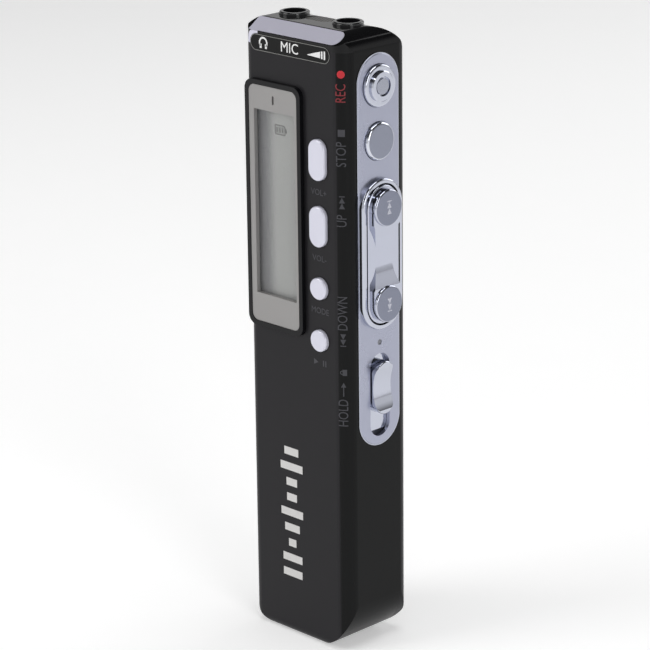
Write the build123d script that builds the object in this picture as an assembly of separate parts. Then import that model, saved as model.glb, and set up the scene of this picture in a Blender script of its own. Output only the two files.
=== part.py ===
"""Handheld voice recorder: a slim upright case with its keys, display, sockets and cell.

Millimetres. +Z runs up the case towards the sockets, -Y is the display face,
+X is the side with the key strip. The case stands on z = 0, centred on x = y = 0.
"""
from build123d import *
import math
import os

# Case
CASE_HEIGHT = 100.0
CASE_WIDTH = 21.6
CASE_DEPTH = 13.8
WALL = 1.3
KEY_SIDE_WALL = 1.6
END_WALL = 2.0
CORNER_FRONT_RIGHT = 2.3
CORNER_OTHER = 1.8
BOTTOM_LEFT_CORNER = 5.0
BOTTOM_RIGHT_CORNER = 7.5
TOP_LEFT_CORNER = 1.9
TOP_RIGHT_CORNER = 3.0
BOTTOM_FRONT_ROUND = 1.4
BOTTOM_BACK_ROUND = 4.0
TOP_BACK_ROUND = 6.5
TOP_BACK_HOLLOW = 3.2
SEAM_BACK = 1.8
CAP_HEIGHT = 2.8
FIT_GAP = 0.04

# Silver band and printed plate at the top of the front
BAND_DEPTH = 2.7
BAND_DROP = 1.8
BAND_THICKNESS = 0.5
BAND_LEFT = -9.7
BAND_RIGHT = 9.2
BAND_END_ROUND = 1.3
BAND_HOOK = 0.8
BAND_HOOK_DEPTH = 0.9
BAND_HOOK_REACH = 1.6
PLATE_LEFT = -9.2
PLATE_RIGHT = 8.0
PLATE_BOTTOM = 95.2
PLATE_HEIGHT = 2.6
PLATE_THICKNESS = 0.4

# Display
RIM_LEFT = -10.0
RIM_RIGHT = 2.1
RIM_BOTTOM = 51.2
RIM_TOP = 90.8
RIM_PROUD = 0.7
RIM_WIDTH = 0.8
RIM_SEAT = 0.5
RIM_CORNER = 1.6
FRAME_THICKNESS = 0.8
LCD_LEFT = -8.1
LCD_RIGHT = 0.75
LCD_BOTTOM = 56.6
LCD_TOP = 86.2
LCD_BORDER = 0.5
WINDOW_THICKNESS = 0.4
GLASS_THICKNESS = 0.9
BACKLIGHT_THICKNESS = 0.8

# Front keys
FRONT_KEY_X = 5.3
FRONT_KEY_RADIUS = 1.75
FRONT_KEY_STRAIGHT = 3.0
FRONT_KEY_PROUD = 0.6
FRONT_KEY_GAP = 0.1
FRONT_KEY_FLANGE = 0.5
FRONT_KEY_TRAVEL = 0.35
VOLUME_UP_Z = 80.2
VOLUME_DOWN_Z = 69.7
MODE_Z = 59.8
PLAY_Z = 51.4

# Key strip on the side
STRIP_Y = 0.3
STRIP_HALF = 4.4
STRIP_BOTTOM = 33.9
STRIP_TOP = 96.3
STRIP_SEAT = 0.4
STRIP_PROUD = 0.25
SIDE_KEY_GAP = 0.08
SIDE_KEY_FLANGE = 0.5
SIDE_KEY_TRAVEL = 0.4
RECORD_Z = 91.4
RECORD_RADIUS = 3.3
RECORD_PROUD = 1.1
RECORD_INSERT_RADIUS = 1.3
STOP_Z = 82.8
STOP_RADIUS = 3.0
STOP_PROUD = 0.65

# Track rocker
ROCKER_Z = 65.0
ROCKER_DISC_OFFSET = 7.65
ROCKER_DISC_RADIUS = 2.9
ROCKER_HALF = 3.4
ROCKER_GAP = 0.25
ROCKER_PROUD = 1.0
ROCKER_DISC_PROUD = 2.2
ROCKER_WAIST = 1.7
RIM_BAND = 0.7
SURROUND_PROUD = 0.9
ROCKER_PIN_RADIUS = 0.45
ROCKER_PIN_GAP = 0.05
ROCKER_HUB_RADIUS = 0.85

# Hold slider
HOLD_SLOT_HALF = 2.15
HOLD_SLOT_BOTTOM = 35.3
HOLD_SLOT_TOP = 48.9
HOLD_KNOB_BOTTOM = 39.2
HOLD_KNOB_TOP = 47.8
HOLD_KNOB_GAP = 0.2
HOLD_KNOB_PROUD = 1.3
HOLD_SKIRT_HALF = 2.7
HOLD_TRAVEL = 3.2
LAMP_Z = 50.7
LAMP_RADIUS = 0.45

# Sockets and microphone
HEADPHONE_X = -6.6
MICROPHONE_X = 5.0
SOCKET_Y = 0.1
SOCKET_BORE = 1.8
SOCKET_COLLAR = 2.4
SOCKET_PROUD = 0.5
SOCKET_DEPTH = 12.0
SOCKET_BODY = 4.8
SOCKET_BODY_LENGTH = 13.0
MIC_X = -0.8
MIC_GRILLE_HALF = 1.6
MIC_GRILLE_STRAIGHT = 2.2
MIC_RADIUS = 1.9
MIC_HEIGHT = 2.2
MIC_SLEEVE = 0.45

# Board and cell
BOARD_FRONT = -3.1
BOARD_THICKNESS = 0.8
BOARD_BOTTOM = 53.4
BOARD_SIDE_GAP = 0.4
SIDE_KEY_ROOM = 1.8
HOLD_SWITCH_DEPTH = 3.8
HOLD_SWITCH_GAP = 0.8
HOLD_LEVER_REACH = 1.6
TONGUE_LEFT = 2.5
TONGUE_BOTTOM = 9.0
SWITCH_HEIGHT = 0.9
SIDE_SWITCH_HEIGHT = 0.7
CELL_RADIUS = 5.25
CELL_LENGTH = 43.3
CELL_BUTTON = 1.2
CELL_X = -4.1
COIL_TURNS = 3
COIL_RADIUS = 2.3
CELL_Y = -0.1
CELL_BOTTOM = 5.6
PARTITION_X = 1.5
PARTITION = 0.7
CROSS_WALL_Z = 51.0
CROSS_WALL = 1.0

# Battery door
DOOR_HALF = 8.3
DOOR_TONGUE = 0.6
DOOR_TOP = 52.6
DOOR_THICKNESS = 1.45
DOOR_GAP = 0.08
DOOR_FOOT = 0.4

# Speaker, socket for the cable, screws
SPEAKER_X = -1.6
SPEAKER_Z = 77.2
SPEAKER_RADIUS = 5.1
SPEAKER_THICKNESS = 2.4
USB_Z = 62.6
USB_WIDTH = 7.7
USB_HEIGHT = 3.9
USB_DEPTH = 7.5
USB_SHELL = 0.35
SCREW_RADIUS = 0.7
SCREW_HEAD = 1.3
SCREW_LENGTH = 5.0

FRONT = -CASE_DEPTH / 2
BACK = CASE_DEPTH / 2
RIGHT = CASE_WIDTH / 2
LEFT = -CASE_WIDTH / 2
SEAM_Y = BACK - SEAM_BACK
CAP_Z = CASE_HEIGHT - CAP_HEIGHT
INNER_FRONT = FRONT + WALL
INNER_BACK = BACK - DOOR_THICKNESS - 0.05
INNER_RIGHT = RIGHT - KEY_SIDE_WALL
INNER_LEFT = LEFT + WALL
STRIP_BACK = RIGHT - STRIP_SEAT
STRIP_FACE = RIGHT + STRIP_PROUD
ROCKER_PIN_X = STRIP_BACK - ROCKER_HUB_RADIUS
BOARD_BACK = BOARD_FRONT + BOARD_THICKNESS
BOARD_LEFT = INNER_LEFT + BOARD_SIDE_GAP
BOARD_RIGHT = INNER_RIGHT - SIDE_KEY_ROOM
BOARD_TOP = CAP_Z - 0.2
CELL_TOP = CELL_BOTTOM + CELL_LENGTH
SWITCH_FACE = BOARD_FRONT - SWITCH_HEIGHT
FLEX_X = BOARD_RIGHT + 0.15
FLEX_THICKNESS = 0.2
SIDE_SWITCH_FACE = FLEX_X + FLEX_THICKNESS + SIDE_SWITCH_HEIGHT
ROCKER_HALF_LENGTH = ROCKER_DISC_OFFSET + ROCKER_HALF
FRONT_KEYS = (
    ("volume_up_key", VOLUME_UP_Z, FRONT_KEY_STRAIGHT),
    ("volume_down_key", VOLUME_DOWN_Z, FRONT_KEY_STRAIGHT),
    ("mode_key", MODE_Z, 0.0),
    ("play_key", PLAY_Z, 0.0),
)
SIDE_SWITCHES = (RECORD_Z, STOP_Z, ROCKER_Z + ROCKER_DISC_OFFSET, ROCKER_Z - ROCKER_DISC_OFFSET)
SCREWS = ((-7.6, 55.0), (5.0, 55.0), (-7.9, 84.2))


def block(x0, x1, y0, y1, z0, z1):
    """A box between six planes."""
    return Pos((x0 + x1) / 2, (y0 + y1) / 2, (z0 + z1) / 2) * Box(x1 - x0, y1 - y0, z1 - z0)


def rod_x(radius, x0, x1, y, z):
    """A cylinder along X."""
    return Pos((x0 + x1) / 2, y, z) * Rot(0, 90, 0) * Cylinder(radius, x1 - x0)


def rod_y(radius, y0, y1, x, z):
    """A cylinder along Y."""
    return Pos(x, (y0 + y1) / 2, z) * Rot(90, 0, 0) * Cylinder(radius, y1 - y0)


def rod_z(radius, z0, z1, x, y):
    """A cylinder along Z."""
    return Pos(x, y, (z0 + z1) / 2) * Cylinder(radius, z1 - z0)


def pill_x(half, x0, x1, y, z0, z1):
    """A round-ended bar of a given half width, standing up, along X."""
    solid = rod_x(half, x0, x1, y, z0 + half) + rod_x(half, x0, x1, y, z1 - half)
    if z1 - z0 > 2 * half + 0.001:
        solid = solid + block(x0, x1, y - half, y + half, z0 + half, z1 - half)
    return solid


def pill_y(half, y0, y1, x, z, straight):
    """A round-ended bar along Y, with an upright straight part."""
    if straight <= 0:
        return rod_y(half, y0, y1, x, z)
    top = rod_y(half, y0, y1, x, z + straight / 2)
    low = rod_y(half, y0, y1, x, z - straight / 2)
    return top + low + block(x - half, x + half, y0, y1, z - straight / 2, z + straight / 2)


def upright(solid, x, y, tolerance=0.01):
    """The vertical edges of a solid at one place in plan."""
    edges = solid.edges().filter_by(Axis.Z)
    return [e for e in edges if abs(e.center().X - x) < tolerance and abs(e.center().Y - y) < tolerance]


def along(solid, axis, x, y, z, tolerance=0.01):
    """The edges along an axis whose centre is at one place."""
    found = []
    for edge in solid.edges().filter_by(axis):
        c = edge.center()
        if abs(c.X - x) < tolerance and abs(c.Y - y) < tolerance and abs(c.Z - z) < tolerance:
            found.append(edge)
    return found


def case_solid():
    """The outside of the whole case as one solid."""
    height = CASE_HEIGHT
    middle = height / 2
    plan = block(LEFT, RIGHT, FRONT, BACK, 0, height)
    plan = fillet(upright(plan, RIGHT, FRONT), CORNER_FRONT_RIGHT)
    others = upright(plan, LEFT, FRONT) + upright(plan, LEFT, BACK) + upright(plan, RIGHT, BACK)
    plan = fillet(others, CORNER_OTHER)
    face = block(LEFT, RIGHT, FRONT, BACK, 0, height)
    face = fillet(along(face, Axis.Y, LEFT, 0, 0), BOTTOM_LEFT_CORNER)
    face = fillet(along(face, Axis.Y, RIGHT, 0, 0), BOTTOM_RIGHT_CORNER)
    face = fillet(along(face, Axis.Y, LEFT, 0, height), TOP_LEFT_CORNER)
    face = fillet(along(face, Axis.Y, RIGHT, 0, height), TOP_RIGHT_CORNER)
    side = block(LEFT, RIGHT, FRONT, BACK, 0, height)
    side = fillet(along(side, Axis.X, 0, FRONT, 0), BOTTOM_FRONT_ROUND)
    side = fillet(along(side, Axis.X, 0, BACK, 0), BOTTOM_BACK_ROUND)
    side = fillet(along(side, Axis.X, 0, BACK, height), TOP_BACK_ROUND)
    side = side - band_wedge()
    return plan & face & side


def band_wedge():
    """The corner cut off between the front and the top face."""
    points = [
        (FRONT - 1, CASE_HEIGHT - BAND_DROP - BAND_DROP / BAND_DEPTH),
        (FRONT + BAND_DEPTH + 1, CASE_HEIGHT + BAND_DROP / BAND_DEPTH),
        (FRONT - 1, CASE_HEIGHT + 3),
    ]
    outline = make_face(Polyline(*points, close=True))
    return Pos(LEFT - 1, 0, 0) * extrude(Plane.YZ * outline, CASE_WIDTH + 2)


def cavity():
    """The hollow inside the case."""
    hollow = block(INNER_LEFT, INNER_RIGHT, INNER_FRONT, INNER_BACK, END_WALL, CASE_HEIGHT - END_WALL)
    middle = (INNER_FRONT + INNER_BACK) / 2
    hollow = fillet(along(hollow, Axis.Y, INNER_LEFT, middle, END_WALL), BOTTOM_LEFT_CORNER - WALL)
    hollow = fillet(along(hollow, Axis.Y, INNER_RIGHT, middle, END_WALL), BOTTOM_RIGHT_CORNER - KEY_SIDE_WALL)
    upper = along(hollow, Axis.Y, INNER_RIGHT, middle, CASE_HEIGHT - END_WALL)
    hollow = fillet(upper, TOP_RIGHT_CORNER - WALL)
    low_back = along(hollow, Axis.X, 0, INNER_BACK, END_WALL, 3.0)
    if low_back:
        hollow = fillet(low_back, BOTTOM_BACK_ROUND - WALL)
    side = block(LEFT, RIGHT, INNER_FRONT, INNER_BACK, 0, CASE_HEIGHT - END_WALL)
    side = fillet(along(side, Axis.X, 0, INNER_BACK, CASE_HEIGHT - END_WALL), TOP_BACK_HOLLOW)
    hollow = hollow & side
    ridge = block(LEFT, RIGHT, FRONT, FRONT + BAND_DEPTH + 0.6, PLATE_BOTTOM - 0.4, CASE_HEIGHT)
    return hollow - ridge


def door_space():
    """The room the battery door and its tongues slide in, open at the foot."""
    half = DOOR_HALF + DOOR_GAP
    slot = block(-half, half, INNER_BACK, BACK + 1, -1, DOOR_TOP + DOOR_GAP)
    reach = half + DOOR_TONGUE
    groove = block(-reach, reach, INNER_BACK, INNER_BACK + 0.75, -1, DOOR_TOP - 1 + DOOR_GAP)
    return slot + groove


def screw_pads():
    """Pads on the inner walls that take the case screws."""
    half = 1.6
    depth = SEAM_Y - SCREW_LENGTH - 0.4
    low = CROSS_WALL_Z + CROSS_WALL
    pads = block(INNER_LEFT - 0.2, SCREWS[0][0] + half, depth, SEAM_Y, low - 0.2, SCREWS[0][1] + half)
    pads = pads + block(SCREWS[1][0] - half, SCREWS[1][0] + half, depth, SEAM_Y, low - 0.2, SCREWS[1][1] + half)
    x, z = SCREWS[2]
    pads = pads + block(INNER_LEFT - 0.2, x + half, depth, SEAM_Y, z - half, z + half)
    return pads


def screw_holes(radius):
    """The screw shanks as solids of a given radius."""
    holes = None
    for x, z in SCREWS:
        hole = rod_y(radius, SEAM_Y - SCREW_LENGTH + 0.6, BACK, x, z)
        holes = hole if holes is None else holes + hole
    return holes


def cell_partitions():
    """Walls that divide the cell's bay from the board."""
    z1 = CROSS_WALL_Z + CROSS_WALL
    wall = block(PARTITION_X, PARTITION_X + PARTITION, INNER_FRONT - 0.2, SEAM_Y, END_WALL - 0.2, z1)
    cross = block(INNER_LEFT - 0.2, PARTITION_X + PARTITION, INNER_FRONT - 0.2, SEAM_Y, CROSS_WALL_Z, z1)
    shelf = block(PARTITION_X, INNER_RIGHT - 1.8, BOARD_BACK + 0.3, SEAM_Y, CROSS_WALL_Z, z1)
    return wall + cross + shelf


def rim_outline(y0, y1, inset):
    """The display rim's outline as a plate, drawn in by an inset."""
    plate = block(RIM_LEFT + inset, RIM_RIGHT - inset, y0, y1, RIM_BOTTOM + inset, RIM_TOP - inset)
    corners = []
    for edge in plate.edges().filter_by(Axis.Y):
        corners.append(edge)
    return fillet(corners, RIM_CORNER - inset * 0.5)


def lcd_opening(y0, y1, grow=0.0):
    """The viewing opening of the display."""
    return block(LCD_LEFT - grow, LCD_RIGHT + grow, y0, y1, LCD_BOTTOM - grow, LCD_TOP + grow)


def front_key_openings(gap):
    """Openings in the front wall for the four front keys."""
    cuts = None
    for _, z, straight in FRONT_KEYS:
        hole = pill_y(FRONT_KEY_RADIUS + gap, FRONT - 1, INNER_FRONT + 0.5, FRONT_KEY_X, z, straight)
        cuts = hole if cuts is None else cuts + hole
    return cuts


def side_openings():
    """Openings in the side wall behind the key strip."""
    x0 = INNER_RIGHT - 1
    x1 = STRIP_BACK + 0.1
    cuts = rod_x(RECORD_RADIUS + SIDE_KEY_FLANGE, x0, x1, STRIP_Y, RECORD_Z)
    cuts = cuts + rod_x(STOP_RADIUS + SIDE_KEY_FLANGE + 0.15, x0, x1, STRIP_Y, STOP_Z)
    half = ROCKER_HALF + ROCKER_GAP
    reach = ROCKER_HALF_LENGTH + ROCKER_GAP
    cuts = cuts + pill_x(half, x0, x1, STRIP_Y, ROCKER_Z - reach, ROCKER_Z + reach)
    low = HOLD_KNOB_BOTTOM - HOLD_TRAVEL - 3.0
    half = HOLD_SKIRT_HALF + 0.1
    cuts = cuts + block(x0, x1, STRIP_Y - half, STRIP_Y + half, low, HOLD_SLOT_TOP + 0.3)
    cuts = cuts + rod_x(LAMP_RADIUS + 0.25, x0, x1, STRIP_Y, LAMP_Z)
    return cuts


def strip_seat():
    """The shallow seat the key strip lies in."""
    half = STRIP_HALF + FIT_GAP
    return pill_x(half, STRIP_BACK, RIGHT + 1, STRIP_Y, STRIP_BOTTOM - FIT_GAP, STRIP_TOP + FIT_GAP)


def usb_opening():
    """The opening for the cable socket in the left wall."""
    half = USB_HEIGHT / 2 + 0.1
    tall = USB_WIDTH / 2 + 0.1
    y = BOARD_BACK + USB_HEIGHT / 2 + 0.05
    return block(LEFT - 1, INNER_LEFT + 0.1, y - half, y + half, USB_Z - tall, USB_Z + tall)


def front_shell():
    """The deep front tub with both side walls, the foot and the inner walls."""
    shell = case_solid() - cavity()
    inner = cell_partitions() + screw_pads()
    shell = shell + (inner & block(INNER_LEFT - 0.2, INNER_RIGHT, INNER_FRONT - 0.2, SEAM_Y, 1, BOARD_TOP))
    shell = shell & block(LEFT - 1, RIGHT + 1, FRONT - 1, SEAM_Y, -1, CAP_Z)
    shell = shell - plate_solid(FIT_GAP) - trim_solid(FIT_GAP)
    shell = shell - rim_outline(FRONT - 1, FRONT + RIM_SEAT, -FIT_GAP)
    shell = shell - lcd_opening(FRONT - 1, INNER_FRONT + 1, LCD_BORDER + 0.1)
    shell = shell - front_key_openings(FRONT_KEY_GAP)
    shell = shell - strip_seat()
    shell = shell - side_openings()
    shell = shell - usb_opening()
    shell = shell - screw_holes(SCREW_RADIUS)
    shell = shell - door_space()
    return shell


def rear_shell():
    """The back of the case, with the opening and grooves for the battery door."""
    shell = case_solid() - cavity()
    shell = shell & block(LEFT - 1, RIGHT + 1, SEAM_Y, BACK + 1, -1, CAP_Z)
    shell = shell - door_space()
    for row in range(-2, 3):
        for column in range(-2, 3):
            if abs(row) + abs(column) < 4:
                x = SPEAKER_X + column * 1.9
                z = SPEAKER_Z + row * 1.9
                shell = shell - rod_y(0.45, SEAM_Y - 1, BACK + 1, x, z)
    shell = shell - screw_holes(SCREW_RADIUS + 0.05)
    for x, z in SCREWS:
        shell = shell - rod_y(SCREW_HEAD + 0.05, BACK - 0.9, BACK + 1, x, z)
    return shell


def top_cap():
    """The gloss cap that closes the top and carries the sockets."""
    cap = case_solid() - cavity()
    cap = cap & block(LEFT - 1, RIGHT + 1, FRONT - 1, BACK + 1, CAP_Z, CASE_HEIGHT + 1)
    cap = cap - trim_solid(FIT_GAP)
    cap = cap - plate_solid(FIT_GAP)
    for x in (HEADPHONE_X, MICROPHONE_X):
        cap = cap - rod_z(SOCKET_COLLAR + 0.05, CAP_Z - 1, CASE_HEIGHT + 1, x, SOCKET_Y)
    half = MIC_GRILLE_HALF + FIT_GAP
    low = CASE_HEIGHT - 0.5
    cap = cap - mic_pill(half, low, CASE_HEIGHT + 1)
    cap = cap - rod_z(0.9, CAP_Z - 1, CASE_HEIGHT + 1, MIC_X, SOCKET_Y)
    return cap


def mic_pill(half, z0, z1):
    """A round-ended bar along X at the microphone opening."""
    x0 = MIC_X - MIC_GRILLE_STRAIGHT / 2
    x1 = MIC_X + MIC_GRILLE_STRAIGHT / 2
    ends = rod_z(half, z0, z1, x0, SOCKET_Y) + rod_z(half, z0, z1, x1, SOCKET_Y)
    return ends + block(x0, x1, SOCKET_Y - half, SOCKET_Y + half, z0, z1)


def trim_solid(grow):
    """The silver band on the slope between the front and the top."""
    lean = math.degrees(math.atan2(BAND_DROP, BAND_DEPTH))
    length = math.hypot(BAND_DROP, BAND_DEPTH)
    wide = BAND_RIGHT - BAND_LEFT + 2 * grow
    plate = Box(wide, length - 0.3 + 2 * grow, 2 * (BAND_THICKNESS + grow))
    ends = plate.edges().filter_by(Axis.Z).sort_by(Axis.X)[-2:]
    plate = fillet(ends, BAND_END_ROUND)
    mid_x = (BAND_LEFT + BAND_RIGHT) / 2
    mid_y = FRONT + BAND_DEPTH / 2
    mid_z = CASE_HEIGHT - BAND_DROP / 2
    band = Pos(mid_x, mid_y, mid_z) * Rot(lean, 0, 0) * plate
    return (band + trim_hook(grow)) & case_solid()


def trim_hook(grow):
    """The curl of the band round the left end of the printed plate."""
    outer = plate_pill(BAND_HOOK + grow, FRONT - 0.05, FRONT + BAND_HOOK_DEPTH + grow)
    inner = plate_pill(FIT_GAP - grow, FRONT - 1, FRONT + 3)
    middle = PLATE_BOTTOM + PLATE_HEIGHT / 2
    reach = block(LEFT, PLATE_LEFT + BAND_HOOK_REACH, FRONT - 1, FRONT + 3, middle - 0.3 - grow, CASE_HEIGHT)
    return (outer - inner) & reach


def top_trim():
    """The silver band as its own piece."""
    return trim_solid(0)


def plate_solid(grow):
    """The printed plate under the band."""
    return plate_pill(grow, FRONT - 0.05, FRONT + PLATE_THICKNESS + grow)


def plate_pill(grow, y0, y1):
    """A round-ended bar with the outline of the printed plate."""
    z0 = PLATE_BOTTOM - grow
    z1 = PLATE_BOTTOM + PLATE_HEIGHT + grow
    half = (z1 - z0) / 2
    mid = (z0 + z1) / 2
    x0 = PLATE_LEFT - grow + half
    x1 = PLATE_RIGHT + grow - half
    ends = rod_y(half, y0, y1, x0, mid) + rod_y(half, y0, y1, x1, mid)
    return ends + block(x0, x1, y0, y1, z0, z1)


def port_label_plate():
    """The gloss plate that names the sockets."""
    return plate_solid(0)


def display_rim():
    """The raised black rim around the display."""
    rim = rim_outline(FRONT - RIM_PROUD, FRONT + RIM_SEAT, 0)
    rim = rim - rim_outline(FRONT - RIM_PROUD - 1, FRONT - RIM_PROUD + FRAME_THICKNESS, RIM_WIDTH - FIT_GAP)
    return rim - lcd_opening(FRONT - 2, FRONT + 1, LCD_BORDER)


def display_frame():
    """The silver frame set into the rim, with the viewing opening."""
    y1 = FRONT - RIM_PROUD + FRAME_THICKNESS
    frame = rim_outline(FRONT - RIM_PROUD + 0.1, y1, RIM_WIDTH)
    frame = frame - lcd_opening(FRONT - 2, FRONT + 1)
    slot_x = (LCD_LEFT + LCD_RIGHT) / 2 - 0.2
    return frame - pill_y(0.2, FRONT - 2, FRONT + 1, slot_x, 88.0, 1.0)


def display_window():
    """The clear window under the frame."""
    y0 = FRONT - RIM_PROUD + FRAME_THICKNESS
    return lcd_opening(y0, y0 + WINDOW_THICKNESS, LCD_BORDER - FIT_GAP)


def display_glass():
    """The display cell behind the window."""
    y0 = FRONT - RIM_PROUD + FRAME_THICKNESS + WINDOW_THICKNESS
    return lcd_opening(y0, y0 + GLASS_THICKNESS, LCD_BORDER - FIT_GAP)


def display_backlight():
    """The light guide behind the display cell."""
    y0 = FRONT - RIM_PROUD + FRAME_THICKNESS + WINDOW_THICKNESS + GLASS_THICKNESS
    return lcd_opening(y0, y0 + BACKLIGHT_THICKNESS, LCD_BORDER - FIT_GAP)


def display_contact_strip():
    """The rubber contact strip from the display cell down to the board."""
    y0 = FRONT - RIM_PROUD + FRAME_THICKNESS + WINDOW_THICKNESS + GLASS_THICKNESS + BACKLIGHT_THICKNESS
    return block(LCD_LEFT + 0.5, LCD_RIGHT - 0.5, y0, BOARD_FRONT, LCD_TOP - 1.6, LCD_TOP)


def front_key(z, straight):
    """One front key with its flange and stem."""
    key = pill_y(FRONT_KEY_RADIUS, FRONT - FRONT_KEY_PROUD, INNER_FRONT + 0.1, FRONT_KEY_X, z, straight)
    rims = key.faces().sort_by(Axis.Y)[0].edges()
    key = fillet(rims, 0.3)
    flange_radius = FRONT_KEY_RADIUS + FRONT_KEY_FLANGE
    key = key + pill_y(flange_radius, INNER_FRONT + 0.05, INNER_FRONT + 0.55, FRONT_KEY_X, z, straight)
    return key + rod_y(0.7, INNER_FRONT + 0.5, SWITCH_FACE - 0.02, FRONT_KEY_X, z)


def front_key_switches():
    """The four switches under the front keys."""
    group = None
    for _, z, _straight in FRONT_KEYS:
        z = max(z, BOARD_BOTTOM - 2)
        body = block(FRONT_KEY_X - 1.6, FRONT_KEY_X + 1.6, SWITCH_FACE, BOARD_FRONT, z - 1.5, z + 1.5)
        body = body - rod_y(0.8, SWITCH_FACE - 1, SWITCH_FACE + FRONT_KEY_TRAVEL + 0.15, FRONT_KEY_X, z)
        group = body if group is None else group + body
    return group


def key_strip():
    """The satin side strip with its key openings and the rocker's lugs."""
    x0 = STRIP_BACK
    strip = pill_x(STRIP_HALF, x0, STRIP_FACE, STRIP_Y, STRIP_BOTTOM, STRIP_TOP)
    rims = strip.faces().sort_by(Axis.X)[-1].edges()
    strip = fillet(rims, 0.2)
    strip = strip - rod_x(RECORD_RADIUS + SIDE_KEY_GAP, x0 - 1, STRIP_FACE + 1, STRIP_Y, RECORD_Z)
    strip = strip - rod_x(STOP_RADIUS + SIDE_KEY_GAP, x0 - 1, STRIP_FACE + 1, STRIP_Y, STOP_Z)
    reach = ROCKER_HALF_LENGTH + ROCKER_GAP
    low = ROCKER_Z - reach
    strip = strip - pill_x(ROCKER_HALF + ROCKER_GAP, x0 - 1, STRIP_FACE + 1, STRIP_Y, low, ROCKER_Z + reach)
    strip = strip - pill_x(HOLD_SLOT_HALF, x0 - 1, STRIP_FACE + 1, STRIP_Y, HOLD_SLOT_BOTTOM, HOLD_SLOT_TOP)
    strip = strip - rod_x(LAMP_RADIUS, x0 - 1, STRIP_FACE + 1, STRIP_Y, LAMP_Z)
    half = ROCKER_HALF + ROCKER_GAP
    for side in (-1, 1):
        y_out = STRIP_Y + side * (half - 0.03)
        y_far = STRIP_Y + side * (half + 0.3)
        y_in = STRIP_Y + side * 1.75
        y0 = min(y_out, y_in)
        y1 = max(y_out, y_in)
        lug = block(INNER_RIGHT - 0.3, x0 + 0.0, y0, y1, ROCKER_Z - 0.9, ROCKER_Z + 0.9)
        bridge = block(x0, x0 + 0.2, min(y_far, y_out), max(y_far, y_out), ROCKER_Z - 0.9, ROCKER_Z + 0.9)
        foot = block(x0 - 0.2, x0 + 0.2, min(y_out, y_in), max(y_out, y_in), ROCKER_Z - 0.9, ROCKER_Z + 0.9)
        strip = strip + (lug + foot + bridge)
    return strip - rod_y(ROCKER_PIN_RADIUS, STRIP_Y - 5, STRIP_Y + 5, ROCKER_PIN_X, ROCKER_Z)


def rocker_surround():
    """The raised rim around the track rocker."""
    reach = ROCKER_HALF_LENGTH + ROCKER_GAP
    inner = ROCKER_HALF + ROCKER_GAP
    outer = inner + RIM_BAND
    far = reach + RIM_BAND
    rim = pill_x(outer, STRIP_FACE, STRIP_FACE + SURROUND_PROUD, STRIP_Y, ROCKER_Z - far, ROCKER_Z + far)
    rims = rim.faces().sort_by(Axis.X)[-1].edges()
    rim = fillet(rims, 0.35)
    return rim - pill_x(inner, STRIP_FACE - 1, STRIP_FACE + 3, STRIP_Y, ROCKER_Z - reach, ROCKER_Z + reach)


def rocker_pin():
    """The pin the track rocker turns on."""
    half = ROCKER_HALF + ROCKER_GAP - 0.05
    return rod_y(ROCKER_PIN_RADIUS, STRIP_Y - half, STRIP_Y + half, ROCKER_PIN_X, ROCKER_Z)


def track_rocker():
    """The rocker: base, two finger discs, a waisted saddle, hub and stems."""
    base_x = STRIP_BACK + 0.35
    face = STRIP_FACE + ROCKER_PROUD
    disc_face = STRIP_FACE + ROCKER_DISC_PROUD
    low = ROCKER_Z - ROCKER_HALF_LENGTH
    high = ROCKER_Z + ROCKER_HALF_LENGTH
    rocker = pill_x(ROCKER_HALF, base_x, face, STRIP_Y, low, high)
    rocker = fillet(rocker.faces().sort_by(Axis.X)[-1].edges(), 0.25)
    saddle = block(face - 0.2, disc_face - 0.4, STRIP_Y - 2.9, STRIP_Y + 2.9, ROCKER_Z - 7.2, ROCKER_Z + 7.2)
    scoop = 14.0
    saddle = saddle - rod_y(scoop, STRIP_Y - 4, STRIP_Y + 4, disc_face - 1.3 + scoop, ROCKER_Z)
    cut = 12.0
    for side in (-1, 1):
        y = STRIP_Y + side * (ROCKER_WAIST + cut)
        saddle = saddle - rod_x(cut, face - 0.1, disc_face + 1, y, ROCKER_Z)
    rocker = rocker + saddle
    for side in (-1, 1):
        z = ROCKER_Z + side * ROCKER_DISC_OFFSET
        disc = rod_x(ROCKER_DISC_RADIUS, face - 0.4, disc_face, STRIP_Y, z)
        disc = fillet(disc.faces().sort_by(Axis.X)[-1].edges(), 0.3)
        rocker = rocker + disc
        rocker = rocker + rod_x(0.8, SIDE_SWITCH_FACE + 0.02, base_x + 0.1, STRIP_Y, z)
    hub = rod_y(ROCKER_HUB_RADIUS, STRIP_Y - 1.6, STRIP_Y + 1.6, ROCKER_PIN_X, ROCKER_Z)
    web = block(ROCKER_PIN_X, base_x + 0.1, STRIP_Y - 1.6, STRIP_Y + 1.6, ROCKER_Z - 0.5, ROCKER_Z + 0.5)
    rocker = rocker + hub + web
    bore = ROCKER_PIN_RADIUS + ROCKER_PIN_GAP
    return rocker - rod_y(bore, STRIP_Y - 2, STRIP_Y + 2, ROCKER_PIN_X, ROCKER_Z)


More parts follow.
